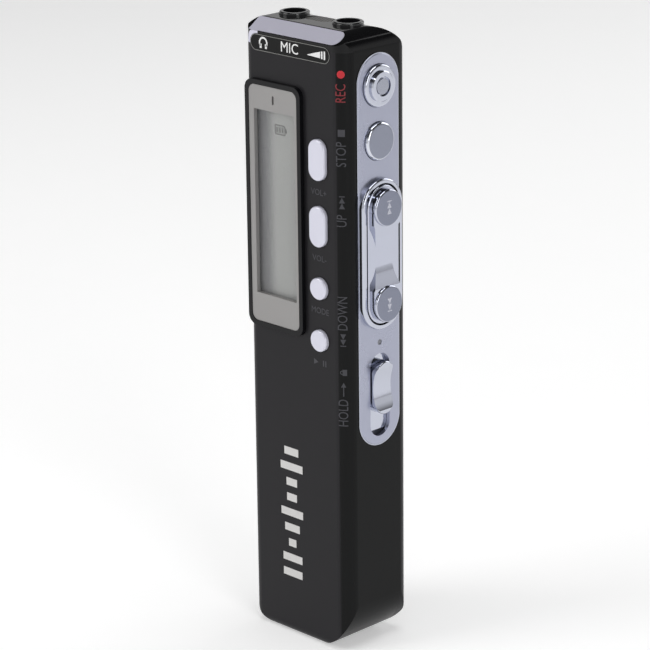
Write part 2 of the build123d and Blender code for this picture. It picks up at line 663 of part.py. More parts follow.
def record_key():
    """The record key: stepped disc with a groove around a small insert."""
    face = STRIP_FACE + RECORD_PROUD
    key = rod_x(RECORD_RADIUS, STRIP_BACK - 0.3, face - 0.5, STRIP_Y, RECORD_Z)
    key = fillet(key.faces().sort_by(Axis.X)[-1].edges(), 0.35)
    key = key + rod_x(RECORD_RADIUS - 0.9, face - 0.7, face, STRIP_Y, RECORD_Z)
    key = chamfer(key.faces().sort_by(Axis.X)[-1].edges(), 0.2)
    key = key - rod_x(RECORD_INSERT_RADIUS + 0.25, face - 0.4, face + 1, STRIP_Y, RECORD_Z)
    key = key - rod_x(RECORD_INSERT_RADIUS, face - 0.8, face, STRIP_Y, RECORD_Z)
    flange = rod_x(RECORD_RADIUS + SIDE_KEY_FLANGE - 0.15, STRIP_BACK - 0.65, STRIP_BACK - 0.05, STRIP_Y, RECORD_Z)
    stem = rod_x(0.8, SIDE_SWITCH_FACE + 0.02, STRIP_BACK - 0.5, STRIP_Y, RECORD_Z)
    return key + flange + stem


def record_key_insert():
    """The small round insert in the record key."""
    face = STRIP_FACE + RECORD_PROUD
    insert = rod_x(RECORD_INSERT_RADIUS, face - 0.8, face - 0.05, STRIP_Y, RECORD_Z)
    return fillet(insert.faces().sort_by(Axis.X)[-1].edges(), 0.15)


def stop_key():
    """The stop key: a plain disc with a rounded rim."""
    key = rod_x(STOP_RADIUS, STRIP_BACK - 0.3, STRIP_FACE + STOP_PROUD, STRIP_Y, STOP_Z)
    key = fillet(key.faces().sort_by(Axis.X)[-1].edges(), 0.5)
    flange = rod_x(STOP_RADIUS + SIDE_KEY_FLANGE, STRIP_BACK - 0.65, STRIP_BACK - 0.05, STRIP_Y, STOP_Z)
    stem = rod_x(0.8, SIDE_SWITCH_FACE + 0.02, STRIP_BACK - 0.5, STRIP_Y, STOP_Z)
    return key + flange + stem


def side_key_flex():
    """The flexible board behind the side keys."""
    low = SIDE_SWITCHES[3] - 2.2
    high = RECORD_Z + 2.6
    flex = block(FLEX_X, FLEX_X + FLEX_THICKNESS, STRIP_Y - 2.6, STRIP_Y + 2.6, low, high)
    tail = block(BOARD_RIGHT - 2.0, FLEX_X + 0.1, BOARD_BACK, BOARD_BACK + 0.2, low, low + 3)
    link = block(FLEX_X, FLEX_X + FLEX_THICKNESS, BOARD_BACK, STRIP_Y, low, low + 3)
    return flex + tail + link


def side_key_switches():
    """The four flat switches behind the record, stop and track keys."""
    x0 = FLEX_X + FLEX_THICKNESS
    group = None
    for z in SIDE_SWITCHES:
        body = block(x0, SIDE_SWITCH_FACE, STRIP_Y - 1.8, STRIP_Y + 1.8, z - 1.8, z + 1.8)
        body = body - rod_x(1.0, SIDE_SWITCH_FACE - SIDE_KEY_TRAVEL - 0.15, SIDE_SWITCH_FACE + 1, STRIP_Y, z)
        group = body if group is None else group + body
    return group


def hold_slider():
    """The hold knob with its finger hollow, skirt and lever fork."""
    half = HOLD_SLOT_HALF - HOLD_KNOB_GAP
    face = STRIP_FACE + HOLD_KNOB_PROUD
    knob = pill_x(half, STRIP_BACK - 0.2, face, STRIP_Y, HOLD_KNOB_BOTTOM, HOLD_KNOB_TOP)
    knob = fillet(knob.faces().sort_by(Axis.X)[-1].edges(), 0.25)
    middle = (HOLD_KNOB_BOTTOM + HOLD_KNOB_TOP) / 2
    hollow = 7.5
    knob = knob - rod_y(hollow, STRIP_Y - 4, STRIP_Y + 4, face - 0.9 + hollow, middle)
    low = HOLD_KNOB_BOTTOM - HOLD_TRAVEL + 0.2
    top = HOLD_KNOB_TOP + 0.9
    skirt = block(STRIP_BACK - 0.55, STRIP_BACK - 0.05, STRIP_Y - HOLD_SKIRT_HALF, STRIP_Y + HOLD_SKIRT_HALF, low, top)
    return knob + skirt


def hold_lever():
    """The lever of the hold switch, carried by the slider."""
    middle = (HOLD_KNOB_BOTTOM + HOLD_KNOB_TOP) / 2
    inner = INNER_RIGHT - HOLD_LEVER_REACH
    return block(inner, STRIP_BACK - 0.55, STRIP_Y - 0.5, STRIP_Y + 0.5, middle - 0.6, middle + 0.6)


def hold_switch_body():
    """The slide switch behind the hold knob, on the board's tongue."""
    middle = (HOLD_KNOB_BOTTOM + HOLD_KNOB_TOP) / 2
    low = middle - HOLD_TRAVEL
    face = INNER_RIGHT - HOLD_SWITCH_GAP
    body = block(face - HOLD_SWITCH_DEPTH, face, BOARD_BACK, STRIP_Y + 2.0, low - 2.2, middle + 2.2)
    return body - block(face - 1.2, face + 1, STRIP_Y - 0.6, STRIP_Y + 0.6, low - 0.8, middle + 0.8)


def record_lamp_lens():
    """The tiny clear lens of the record lamp."""
    return rod_x(LAMP_RADIUS - 0.01, INNER_RIGHT, STRIP_FACE - 0.1, STRIP_Y, LAMP_Z)


def record_lamp():
    """The lamp behind the lens."""
    return block(INNER_RIGHT - 0.8, INNER_RIGHT - 0.01, STRIP_Y - 0.5, STRIP_Y + 0.5, LAMP_Z - 0.5, LAMP_Z + 0.5)


def jack_socket(x):
    """A 3.5 mm socket: body, collar through the cap and an open bore."""
    half = SOCKET_BODY / 2
    low = CAP_Z - SOCKET_BODY_LENGTH + 2.2
    body = block(x - half, x + half, BOARD_BACK, SOCKET_Y + half, low, CAP_Z + 0.6)
    collar = rod_z(SOCKET_COLLAR, CAP_Z, CASE_HEIGHT + SOCKET_PROUD, x, SOCKET_Y)
    collar = fillet(collar.faces().sort_by(Axis.Z)[-1].edges(), 0.25)
    top = CASE_HEIGHT + SOCKET_PROUD
    return (body + collar) - rod_z(SOCKET_BORE, top - SOCKET_DEPTH, top + 1, x, SOCKET_Y)


def mic_grille():
    """The fine mesh over the built-in microphone."""
    low = CASE_HEIGHT - 0.5
    mesh = mic_pill(MIC_GRILLE_HALF, low, low + 0.4)
    for row in range(-2, 3):
        for column in range(-4, 5):
            x = MIC_X + column * 0.55 + (row % 2) * 0.27
            y = SOCKET_Y + row * 0.55
            if abs(x - MIC_X) < 2.3 and abs(y - SOCKET_Y) < 1.2:
                mesh = mesh - rod_z(0.16, low - 0.2, low + 1, x, y)
    return mesh


def mic_capsule():
    """The built-in microphone capsule."""
    top = CASE_HEIGHT - END_WALL
    return rod_z(MIC_RADIUS, top - MIC_HEIGHT, top, MIC_X, SOCKET_Y)


def mic_boot():
    """The rubber sleeve that holds the microphone capsule."""
    top = CASE_HEIGHT - END_WALL
    sleeve = rod_z(MIC_RADIUS + MIC_SLEEVE, top - MIC_HEIGHT - 0.6, top - 0.1, MIC_X, SOCKET_Y)
    return sleeve - rod_z(MIC_RADIUS, top - MIC_HEIGHT, top + 1, MIC_X, SOCKET_Y)


def main_board():
    """The circuit board, with a tongue beside the cell."""
    board = block(BOARD_LEFT, BOARD_RIGHT, BOARD_FRONT, BOARD_BACK, BOARD_BOTTOM, BOARD_TOP)
    tongue = block(TONGUE_LEFT, BOARD_RIGHT, BOARD_FRONT, BOARD_BACK, TONGUE_BOTTOM, BOARD_BOTTOM + 0.2)
    board = board + tongue
    return board - rod_z(0.4, BOARD_TOP - 1, BOARD_TOP + 1, -8.4, BOARD_FRONT)


def board_chip(x, z, wide, tall, thick):
    """A flat chip on the back of the board."""
    return block(x - wide / 2, x + wide / 2, BOARD_BACK, BOARD_BACK + thick, z - tall / 2, z + tall / 2)


def capacitors():
    """Small parts in a row on the board."""
    group = None
    for step in range(5):
        part = board_chip(3.2, 12.5 + step * 3.2, 1.0, 1.8, 1.0)
        group = part if group is None else group + part
    return group


def clock_crystal():
    """The clock crystal on the board."""
    can = board_chip(5.6, 22.0, 2.2, 6.0, 1.8)
    return fillet(can.edges().filter_by(Axis.Z), 0.4)


def usb_socket():
    """The cable socket: a thin metal shell around a contact tongue."""
    y0 = BOARD_BACK
    y1 = y0 + USB_HEIGHT
    x0 = LEFT + 0.3
    x1 = x0 + USB_DEPTH
    z0 = USB_Z - USB_WIDTH / 2
    z1 = USB_Z + USB_WIDTH / 2
    shell = block(x0, x1, y0, y1, z0, z1)
    s = USB_SHELL
    return shell - block(x0 - 1, x1 - s, y0 + s, y1 - s, z0 + s, z1 - s)


def usb_contacts():
    """The contact tongue inside the cable socket."""
    mid = BOARD_BACK + USB_HEIGHT / 2
    x1 = LEFT + 0.3 + USB_DEPTH - USB_SHELL
    return block(x1 - 5.0, x1, mid - 0.4, mid + 0.4, USB_Z - 2.4, USB_Z + 2.4)


def speaker():
    """The small round speaker behind its holes."""
    y1 = INNER_BACK - 0.3
    body = rod_y(SPEAKER_RADIUS, y1 - SPEAKER_THICKNESS, y1, SPEAKER_X, SPEAKER_Z)
    return body - rod_y(SPEAKER_RADIUS - 0.8, y1 - 0.5, y1 + 1, SPEAKER_X, SPEAKER_Z)


def speaker_cone():
    """The speaker's thin cone."""
    y1 = INNER_BACK - 0.3
    return rod_y(SPEAKER_RADIUS - 0.82, y1 - 0.5, y1 - 0.3, SPEAKER_X, SPEAKER_Z)


def speaker_gasket():
    """The foam ring between the speaker and the back."""
    y1 = INNER_BACK
    ring = rod_y(SPEAKER_RADIUS, y1 - 0.3, y1, SPEAKER_X, SPEAKER_Z)
    return ring - rod_y(SPEAKER_RADIUS - 0.8, y1 - 1, y1 + 1, SPEAKER_X, SPEAKER_Z)


def battery_cell():
    """One AAA cell, its button end up."""
    cell = rod_z(CELL_RADIUS, CELL_BOTTOM, CELL_TOP, CELL_X, CELL_Y)
    cell = fillet(cell.edges().filter_by(GeomType.CIRCLE), 0.4)
    return cell + rod_z(1.9, CELL_TOP - 0.1, CELL_TOP + CELL_BUTTON, CELL_X, CELL_Y)


def positive_contact():
    """The plate the cell's button presses on."""
    z0 = CELL_TOP + CELL_BUTTON
    return block(CELL_X - 3.2, CELL_X + 3.2, CELL_Y - 3.2, CELL_Y + 3.2, z0, CROSS_WALL_Z)


def negative_spring():
    """The coil spring under the cell, on its plate."""
    plate_top = END_WALL + 0.5
    plate = block(CELL_X - 1.1, CELL_X + 3.6, CELL_Y - 2.8, CELL_Y + 2.8, END_WALL, plate_top)
    wire = 0.25
    height = CELL_BOTTOM - plate_top - 2 * wire
    path = Helix(pitch=height / COIL_TURNS, height=height, radius=COIL_RADIUS)
    coil = sweep(Plane(origin=path @ 0, z_dir=path % 0) * Circle(wire), path=path, is_frenet=True)
    return plate + (Pos(CELL_X, CELL_Y, plate_top + wire - 0.02) * coil)


def battery_door():
    """The sliding door over the cell, with tongues and a finger grip."""
    y0 = INNER_BACK + 0.05
    plate = block(-DOOR_HALF, DOOR_HALF, y0, BACK + 1, DOOR_FOOT, DOOR_TOP)
    reach = DOOR_HALF + DOOR_TONGUE
    tongue = block(-reach, reach, y0, y0 + 0.65, DOOR_FOOT, DOOR_TOP - 1)
    door = (plate + tongue) & case_solid()
    for step in range(5):
        z = 42.5 + step * 1.3
        door = door - block(-4.0, 4.0, BACK - 0.3, BACK + 1, z, z + 0.6)
    return door


def case_screws():
    """The three screws that hold the back on."""
    group = None
    for x, z in SCREWS:
        screw = rod_y(SCREW_RADIUS, SEAM_Y - SCREW_LENGTH + 0.7, BACK - 0.8, x, z)
        head = rod_y(SCREW_HEAD, BACK - 0.9, BACK - 0.2, x, z)
        head = head - block(x - 0.8, x + 0.8, BACK - 0.5, BACK, z - 0.15, z + 0.15)
        head = head - block(x - 0.15, x + 0.15, BACK - 0.5, BACK, z - 0.8, z + 0.8)
        one = screw + head
        group = one if group is None else group + one
    return group


def all_nodes():
    """Every piece by its name."""
    nodes = {
        "front_shell": front_shell(),
        "rear_shell": rear_shell(),
        "top_cap": top_cap(),
        "top_trim": top_trim(),
        "port_label_plate": port_label_plate(),
        "display_rim": display_rim(),
        "display_frame": display_frame(),
        "display_window": display_window(),
        "display_glass": display_glass(),
        "display_backlight": display_backlight(),
        "display_contact_strip": display_contact_strip(),
        "front_key_switches": front_key_switches(),
        "key_strip": key_strip(),
        "rocker_surround": rocker_surround(),
        "rocker_pin": rocker_pin(),
        "track_rocker": track_rocker(),
        "record_key": record_key(),
        "record_key_insert": record_key_insert(),
        "stop_key": stop_key(),
        "side_key_flex": side_key_flex(),
        "side_key_switches": side_key_switches(),
        "hold_slider": hold_slider(),
        "hold_lever": hold_lever(),
        "hold_switch_body": hold_switch_body(),
        "record_lamp_lens": record_lamp_lens(),
        "record_lamp": record_lamp(),
        "headphone_socket": jack_socket(HEADPHONE_X),
        "microphone_socket": jack_socket(MICROPHONE_X),
        "mic_grille": mic_grille(),
        "mic_capsule": mic_capsule(),
        "mic_boot": mic_boot(),
        "main_board": main_board(),
        "controller_chip": board_chip(2.6, 66.0, 7.0, 7.0, 1.0),
        "memory_chip": board_chip(2.2, 78.5, 6.0, 10.0, 1.0),
        "clock_crystal": clock_crystal(),
        "capacitors": capacitors(),
        "usb_socket": usb_socket(),
        "usb_contacts": usb_contacts(),
        "speaker": speaker(),
        "speaker_cone": speaker_cone(),
        "speaker_gasket": speaker_gasket(),
        "battery_cell": battery_cell(),
        "positive_contact": positive_contact(),
        "negative_spring": negative_spring(),
        "battery_door": battery_door(),
        "case_screws": case_screws(),
    }
    for name, z, straight in FRONT_KEYS:
        nodes[name] = front_key(z, straight)
    return nodes


def main():
    """Write every piece to its own file."""
    os.makedirs("parts", exist_ok=True)
    for name, shape in all_nodes().items():
        export_step(shape, f"parts/{name}.step")
        box = shape.bounding_box()
        low = tuple(round(v, 2) for v in box.min)
        high = tuple(round(v, 2) for v in box.max)
        print(name, len(shape.solids()), round(shape.volume, 2), low, high)


main()
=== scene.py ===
"""Looks for a handheld voice recorder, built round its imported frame.

The frame gives every solid piece at its real size. This script gives each of
them a finish, adds the printing, the display's marks and the fine trims, and
sets the studio, the lights and the camera.
"""

from __future__ import annotations

import logging
import math
from dataclasses import dataclass, field, replace
from enum import Enum

import bmesh
import bpy
from mathutils import Matrix, Vector


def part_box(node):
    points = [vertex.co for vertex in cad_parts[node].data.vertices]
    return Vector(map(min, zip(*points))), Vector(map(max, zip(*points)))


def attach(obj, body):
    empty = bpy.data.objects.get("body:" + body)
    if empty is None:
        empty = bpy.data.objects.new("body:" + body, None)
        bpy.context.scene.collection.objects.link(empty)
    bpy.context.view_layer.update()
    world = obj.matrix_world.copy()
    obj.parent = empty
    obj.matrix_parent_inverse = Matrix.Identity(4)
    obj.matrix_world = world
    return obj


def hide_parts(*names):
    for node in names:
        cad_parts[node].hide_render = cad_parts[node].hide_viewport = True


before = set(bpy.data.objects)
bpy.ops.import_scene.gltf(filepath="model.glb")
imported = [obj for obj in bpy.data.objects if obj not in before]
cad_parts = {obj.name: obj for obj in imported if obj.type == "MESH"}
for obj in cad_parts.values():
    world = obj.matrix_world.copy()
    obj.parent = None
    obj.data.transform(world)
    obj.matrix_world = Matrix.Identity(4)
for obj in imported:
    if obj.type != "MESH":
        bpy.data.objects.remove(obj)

LOG = logging.getLogger("recorder")
MM = 0.001
CASE = "case"
PRINT_SINK = 0.004
COAT_ROUGHNESS = 0.04
GRAIN_STRENGTH = 0.6
CAPITAL_SHARE = 0.7
RGB = tuple[float, float, float]
Points = list[tuple[float, float]]
Tree = bpy.types.NodeTree
Node = bpy.types.Node
Socket = bpy.types.NodeSocket
Mesh = bmesh.types.BMesh


class Print(Enum):
    """The inks the case is printed with."""

    WHITE = "white"
    RED = "red"
    DARK_RED = "dark_red"
    SHADOW = "shadow"
    PALE = "pale"
    ETCHED = "etched"


class Side(Enum):
    """The two ends of the track rocker, as signs along Z."""

    UP = 1
    DOWN = -1


# --------------------------------------------------------------------------
# Shared effects
# --------------------------------------------------------------------------


class Effects:
    """Node groups that several finishes share, each built once."""

    @staticmethod
    def _new(name: str, inputs: dict[str, float], output: str) -> tuple[Tree, Node, Node]:
        """Start a group that takes a Vector and named numbers.

        Args:
            name: the group's name.
            inputs: number inputs and their defaults.
            output: the name of the one output, a number.

        Returns:
            The group, its input node and its output node.
        """
        group = bpy.data.node_groups.new(name, "ShaderNodeTree")
        group.interface.new_socket("Vector", in_out="INPUT", socket_type="NodeSocketVector")
        for label, value in inputs.items():
            socket = group.interface.new_socket(label, in_out="INPUT", socket_type="NodeSocketFloat")
            socket.default_value = value
        group.interface.new_socket(output, in_out="OUTPUT", socket_type="NodeSocketFloat")
        return group, group.nodes.new("NodeGroupInput"), group.nodes.new("NodeGroupOutput")

    @classmethod
    def _noise(
        cls, name: str, scale: float, detail: float, output: str, stretch: RGB | None = None
    ) -> Tree:
        """Make a group that is one noise texture, or return it if it is made already.

        Args:
            name: the group's name.
            scale: the default scale.
            detail: the noise's detail.
            output: the name of the output.
            stretch: how the coordinates are scaled first, if they are.

        Returns:
            The group.
        """
        if name in bpy.data.node_groups:
            return bpy.data.node_groups[name]
        group, start, end = cls._new(name, {"Scale": scale}, output)
        place = start.outputs["Vector"]
        if stretch is not None:
            mapping = group.nodes.new("ShaderNodeMapping")
            mapping.inputs["Scale"].default_value = stretch
            group.links.new(place, mapping.inputs["Vector"])
            place = mapping.outputs["Vector"]
        noise = group.nodes.new("ShaderNodeTexNoise")
        noise.inputs["Detail"].default_value = detail
        group.links.new(place, noise.inputs["Vector"])
        group.links.new(start.outputs["Scale"], noise.inputs["Scale"])
        group.links.new(noise.outputs["Fac"], end.inputs[output])
        return group

    @classmethod
    def mould_grain(cls) -> Tree:
        """The fine height of moulded or blasted surfaces."""
        return cls._noise("mould_grain", 4000.0, 3.0, "Height")

    @classmethod
    def drawn_lines(cls) -> Tree:
        """Fine lines along Z, as drawn or brushed metal has."""
        return cls._noise("drawn_lines", 6000.0, 2.0, "Height", stretch=(1.0, 1.0, 0.02))

    @classmethod
    def tone_drift(cls) -> Tree:
        """A slow mask that shifts a colour slightly over a surface."""
        return cls._noise("tone_drift", 60.0, 4.0, "Mask")

    @classmethod
    def hand_marks(cls) -> Tree:
        """Roughness that drifts as handled plastic and metal do.

        Returns:
            The group, made once.
        """
        name = "hand_marks"
        if name in bpy.data.node_groups:
            return bpy.data.node_groups[name]
        group, start, end = cls._new(name, {"Scale": 90.0, "Low": 0.3, "High": 0.4}, "Roughness")
        noise = group.nodes.new("ShaderNodeTexNoise")
        noise.inputs["Detail"].default_value = 6.0
        noise.inputs["Roughness"].default_value = 0.62
        spread = group.nodes.new("ShaderNodeMapRange")
        spread.inputs["From Min"].default_value = 0.35
        spread.inputs["From Max"].default_value = 0.68
        group.links.new(start.outputs["Vector"], noise.inputs["Vector"])
        group.links.new(start.outputs["Scale"], noise.inputs["Scale"])
        group.links.new(noise.outputs["Fac"], spread.inputs["Value"])
        group.links.new(start.outputs["Low"], spread.inputs["To Min"])
        group.links.new(start.outputs["High"], spread.inputs["To Max"])
        group.links.new(spread.outputs["Result"], end.inputs["Roughness"])
        return group

    @classmethod
    def past_plane(cls) -> Tree:
        """A mask that rises from 0 to 1 between two places along X.

        Returns:
            The group, made once.
        """
        name = "past_plane"
        if name in bpy.data.node_groups:
            return bpy.data.node_groups[name]
        group, start, end = cls._new(name, {"From": 0.0, "To": 1.0}, "Mask")
        split = group.nodes.new("ShaderNodeSeparateXYZ")
        spread = group.nodes.new("ShaderNodeMapRange")
        group.links.new(start.outputs["Vector"], split.inputs["Vector"])
        group.links.new(split.outputs["X"], spread.inputs["Value"])
        group.links.new(start.outputs["From"], spread.inputs["From Min"])
        group.links.new(start.outputs["To"], spread.inputs["From Max"])
        group.links.new(spread.outputs["Result"], end.inputs["Mask"])
        return group


# --------------------------------------------------------------------------
# Finishes
# --------------------------------------------------------------------------


@dataclass(frozen=True)
class Finish:
    """One finish, built as a procedural material.

    Attributes:
        name: the material's name.
        colour: linear base colour.
        drift: how much the colour shifts, as a share of itself.
        low: lowest roughness.
        high: highest roughness.
        metal: metallic weight.
        grain: scale of the grain, per metre.
        depth: height of the grain in millimetres.
        lined: True for drawn lines in place of an even grain.
        coat: coat weight.
        alpha: opacity.
        specular: specular level.
        glow: emission strength in the base colour.
    """

    name: str
    colour: RGB
    drift: float = 0.06
    low: float = 0.3
    high: float = 0.4
    metal: float = 0.0
    grain: float = 4000.0
    depth: float = 0.001
    lined: bool = False
    coat: float = 0.0
    alpha: float = 1.0
    specular: float = 0.5
    glow: float = 0.0

    def build(self) -> bpy.types.Material:
        """Make the material, or return it if it is made already.

        Returns:
            The material.
        """
        full_name = f"{self.name}_finish"
        made = bpy.data.materials.get(full_name)
        if made is not None:
            return made
        material = bpy.data.materials.new(full_name)
        material.use_nodes = True
        tree = material.node_tree
        shader = tree.nodes["Principled BSDF"]
        place = tree.nodes.new("ShaderNodeTexCoord")
        self._colour(tree, shader, place)
        self._roughness(tree, shader, place)
        self._grain(tree, shader, place)
        shader.inputs["Metallic"].default_value = self.metal
        shader.inputs["Coat Weight"].default_value = self.coat
        shader.inputs["Coat Roughness"].default_value = COAT_ROUGHNESS
        shader.inputs["Specular IOR Level"].default_value = self.specular
        shader.inputs["Alpha"].default_value = self.alpha
        if self.glow > 0:
            shader.inputs["Emission Color"].default_value = (*self.colour, 1.0)
            shader.inputs["Emission Strength"].default_value = self.glow
        return material

    def _group(self, tree: Tree, group: Tree, place: Node) -> Node:
        """Put a shared group in the material, on object coordinates.

        Args:
            tree: the material's nodes.
            group: the shared group.
            place: the texture coordinates.

        Returns:
            The group's node.
        """
        node = tree.nodes.new("ShaderNodeGroup")
        node.node_tree = group
        tree.links.new(place.outputs["Object"], node.inputs["Vector"])
        return node

    def _past(self, tree: Tree, place: Node, low: float, high: float) -> Socket:
        """A mask that is 0 at one place along X and 1 at another.

        Args:
            tree: the material's nodes.
            place: the texture coordinates.
            low: where the mask is 0, in millimetres.
            high: where the mask is 1, in millimetres.

        Returns:
            The mask.
        """
        mask = self._group(tree, Effects.past_plane(), place)
        mask.inputs["From"].default_value = low * MM
        mask.inputs["To"].default_value = high * MM
        return mask.outputs["Mask"]

    def _toward(self, tree: Tree, socket: Socket, value: float | tuple, mask: Socket) -> None:
        """Turn a driven shader input towards a fixed value where a mask is 1.

        Args:
            tree: the material's nodes.
            socket: the shader's input, already driven.
            value: a number, or a colour with its alpha.
            mask: the mask.
        """
        before = socket.links[0].from_socket
        mix = tree.nodes.new("ShaderNodeMix")
        mix.data_type = "RGBA" if isinstance(value, tuple) else "FLOAT"
        mix.inputs["B"].default_value = value
        tree.links.new(mask, mix.inputs["Factor"])
        tree.links.new(before, mix.inputs["A"])
        tree.links.new(mix.outputs["Result"], socket)

    def _colour(self, tree: Tree, shader: Node, place: Node) -> None:
        """Drive the base colour by a slow drift.

        Args:
            tree: the material's nodes.
            shader: the material's shader.
            place: the texture coordinates.
        """
        drift = self._group(tree, Effects.tone_drift(), place)
        mix = tree.nodes.new("ShaderNodeMix")
        mix.data_type = "RGBA"
        dark = [c * (1.0 - self.drift) for c in self.colour]
        light = [min(1.0, c * (1.0 + self.drift)) for c in self.colour]
        mix.inputs["A"].default_value = (*dark, 1.0)
        mix.inputs["B"].default_value = (*light, 1.0)
        tree.links.new(drift.outputs["Mask"], mix.inputs["Factor"])
        tree.links.new(mix.outputs["Result"], shader.inputs["Base Color"])

    def _roughness(self, tree: Tree, shader: Node, place: Node) -> None:
        """Drive the roughness by handling marks.

        Args:
            tree: the material's nodes.
            shader: the material's shader.
            place: the texture coordinates.
        """
        marks = self._group(tree, Effects.hand_marks(), place)
        marks.inputs["Low"].default_value = self.low
        marks.inputs["High"].default_value = self.high
        tree.links.new(marks.outputs["Roughness"], shader.inputs["Roughness"])

    def _grain(self, tree: Tree, shader: Node, place: Node) -> None:
        """Raise a fine grain or drawn lines by a bump.

        Args:
            tree: the material's nodes.
            shader: the material's shader.
            place: the texture coordinates.
        """
        if self.depth <= 0:
            return
        source = Effects.drawn_lines() if self.lined else Effects.mould_grain()
        grain = self._group(tree, source, place)
        grain.inputs["Scale"].default_value = self.grain
        bump = tree.nodes.new("ShaderNodeBump")
        bump.inputs["Strength"].default_value = GRAIN_STRENGTH
        bump.inputs["Distance"].default_value = self.depth * MM
        tree.links.new(grain.outputs["Height"], bump.inputs["Height"])
        tree.links.new(bump.outputs["Normal"], shader.inputs["Normal"])


@dataclass(frozen=True)
class CaseFinish(Finish):
    """The case: satin on the flat front, glossier past its edge, where painted shade darkens its colour.

    Attributes:
        edge: where along X the flat front ends, in millimetres.
        blend: width of the change, in millimetres.
        painted_side_shade: painted shade, the darker colour past the edge, for the corner and side that
            read darker than the front because of how light falls on them.
        gloss: how much of the roughness is kept past the edge.
    """

    edge: float = 9.1
    blend: float = 0.25
    painted_side_shade: RGB = (0.004, 0.0042, 0.0044)
    gloss: float = 0.55

    def _past_edge(self, tree: Tree, place: Node) -> Socket:
        """A mask that is 1 past the edge of the flat front."""
        return self._past(tree, place, self.edge - self.blend / 2, self.edge + self.blend / 2)

    def _colour(self, tree: Tree, shader: Node, place: Node) -> None:
        """Darken the drifting colour past the edge with painted shade."""
        super()._colour(tree, shader, place)
        mask = self._past_edge(tree, place)
        # painted shade: the corner and side are darkened in colour, standing in for the light they lack
        self._toward(tree, shader.inputs["Base Color"], (*self.painted_side_shade, 1.0), mask)

    def _roughness(self, tree: Tree, shader: Node, place: Node) -> None:
        """Smooth the finish past the edge.

        Args:
            tree: the material's nodes.
            shader: the material's shader.
            place: the texture coordinates.
        """
        super()._roughness(tree, shader, place)
        rough = shader.inputs["Roughness"].links[0].from_socket
        keep = tree.nodes.new("ShaderNodeMapRange")
        keep.inputs["To Min"].default_value = 1.0
        keep.inputs["To Max"].default_value = self.gloss
        scale = tree.nodes.new("ShaderNodeMath")
        scale.operation = "MULTIPLY"
        tree.links.new(self._past_edge(tree, place), keep.inputs["Value"])
        tree.links.new(rough, scale.inputs[0])
        tree.links.new(keep.outputs["Result"], scale.inputs[1])
        tree.links.new(scale.outputs["Value"], shader.inputs["Roughness"])


@dataclass(frozen=True)
class CellFinish(Finish):
    """The display cell: a flat grey darkened towards its left edge by a painted shadow, standing in for
    the recess's shade on it.

    Attributes:
        edge: where along X the darkest part ends, in millimetres.
        clear: where along X the plain grey begins, in millimetres.
        shade: painted shadow colour at the left edge, for the recess's shade on the cell.
    """

    edge: float = -7.0
    clear: float = -4.2
    shade: RGB = (0.07, 0.07, 0.075)

    def _colour(self, tree: Tree, shader: Node, place: Node) -> None:
        """Fade the grey to the painted shadow at the left.

        Args:
            tree: the material's nodes.
            shader: the material's shader.
            place: the texture coordinates.
        """
        super()._colour(tree, shader, place)
        split = tree.nodes.new("ShaderNodeSeparateXYZ")
        spread = tree.nodes.new("ShaderNodeMapRange")
        spread.interpolation_type = "SMOOTHSTEP"
        spread.inputs["From Min"].default_value = self.clear * MM
        spread.inputs["From Max"].default_value = self.edge * MM
        tree.links.new(place.outputs["Object"], split.inputs["Vector"])
        tree.links.new(split.outputs["X"], spread.inputs["Value"])
        colour = shader.inputs["Base Color"]
        # painted shadow: the recess's shade laid into the cell's colour at its left
        self._toward(tree, colour, (*self.shade, 1.0), spread.outputs["Result"])


@dataclass(frozen=True)
class TurnedChrome(Finish):
    """Chrome whose flat face, past a plane along X, is a satin made darker by a painted reflection of what
    the face mirrors.

    Attributes:
        face: where along X the satin face begins, in millimetres.
        face_painted_reflection: colour of the face, darker as a painted reflection.
        face_rough: roughness of the face.
        blend: width of the change, in millimetres.
    """

    face: float = 12.0
    face_painted_reflection: RGB = (0.28, 0.295, 0.36)
    face_rough: float = 0.26
    blend: float = 0.02

    def _on_face(self, tree: Tree, place: Node) -> Socket:
        """A mask that is 1 on the flat face."""
        return self._past(tree, place, self.face - self.blend, self.face)

    def _colour(self, tree: Tree, shader: Node, place: Node) -> None:
        """Darken the colour on the face with a painted reflection."""
        super()._colour(tree, shader, place)
        mask = self._on_face(tree, place)
        self._toward(tree, shader.inputs["Base Color"], (*self.face_painted_reflection, 1.0), mask)

    def _roughness(self, tree: Tree, shader: Node, place: Node) -> None:
        """Roughen the face."""
        super()._roughness(tree, shader, place)
        mask = self._on_face(tree, place)
        self._toward(tree, shader.inputs["Roughness"], self.face_rough, mask)


# The case's colour past the front's edge is painted shade.
CASE_SATIN = CaseFinish(
    "case_satin", (0.016, 0.0152, 0.0172), low=0.30, high=0.36, grain=5200, depth=0.0008, specular=0.14
)
BACK_SATIN = Finish(
    "back_satin", (0.006, 0.006, 0.007), low=0.3, high=0.4, grain=4200, depth=0.002, specular=0.16
)
CAP_GLOSS = Finish("cap_gloss", (0.004, 0.004, 0.0045), low=0.05, high=0.1, depth=0.0, specular=0.22)
RIM_GLOSS = Finish("rim_gloss", (0.005, 0.005, 0.006), low=0.1, high=0.18, depth=0.0, specular=0.2)
PLATE_GLOSS = Finish(
    "plate_gloss", (0.003, 0.003, 0.003), low=0.08, high=0.14, depth=0.0, specular=0.15
)
BAND_SILVER = Finish(
    "band_silver", (0.64, 0.63, 0.74), metal=0.35, low=0.3, high=0.38, grain=7000, depth=0.001
)
FRAME_GREY = Finish(
    "frame_grey", (0.3, 0.292, 0.288), metal=0.3, low=0.34, high=0.42, grain=7000, depth=0.001
)
WINDOW_CLEAR = Finish("window_clear", (0.85, 0.86, 0.87), low=0.03, high=0.06, depth=0.0, alpha=0.08)
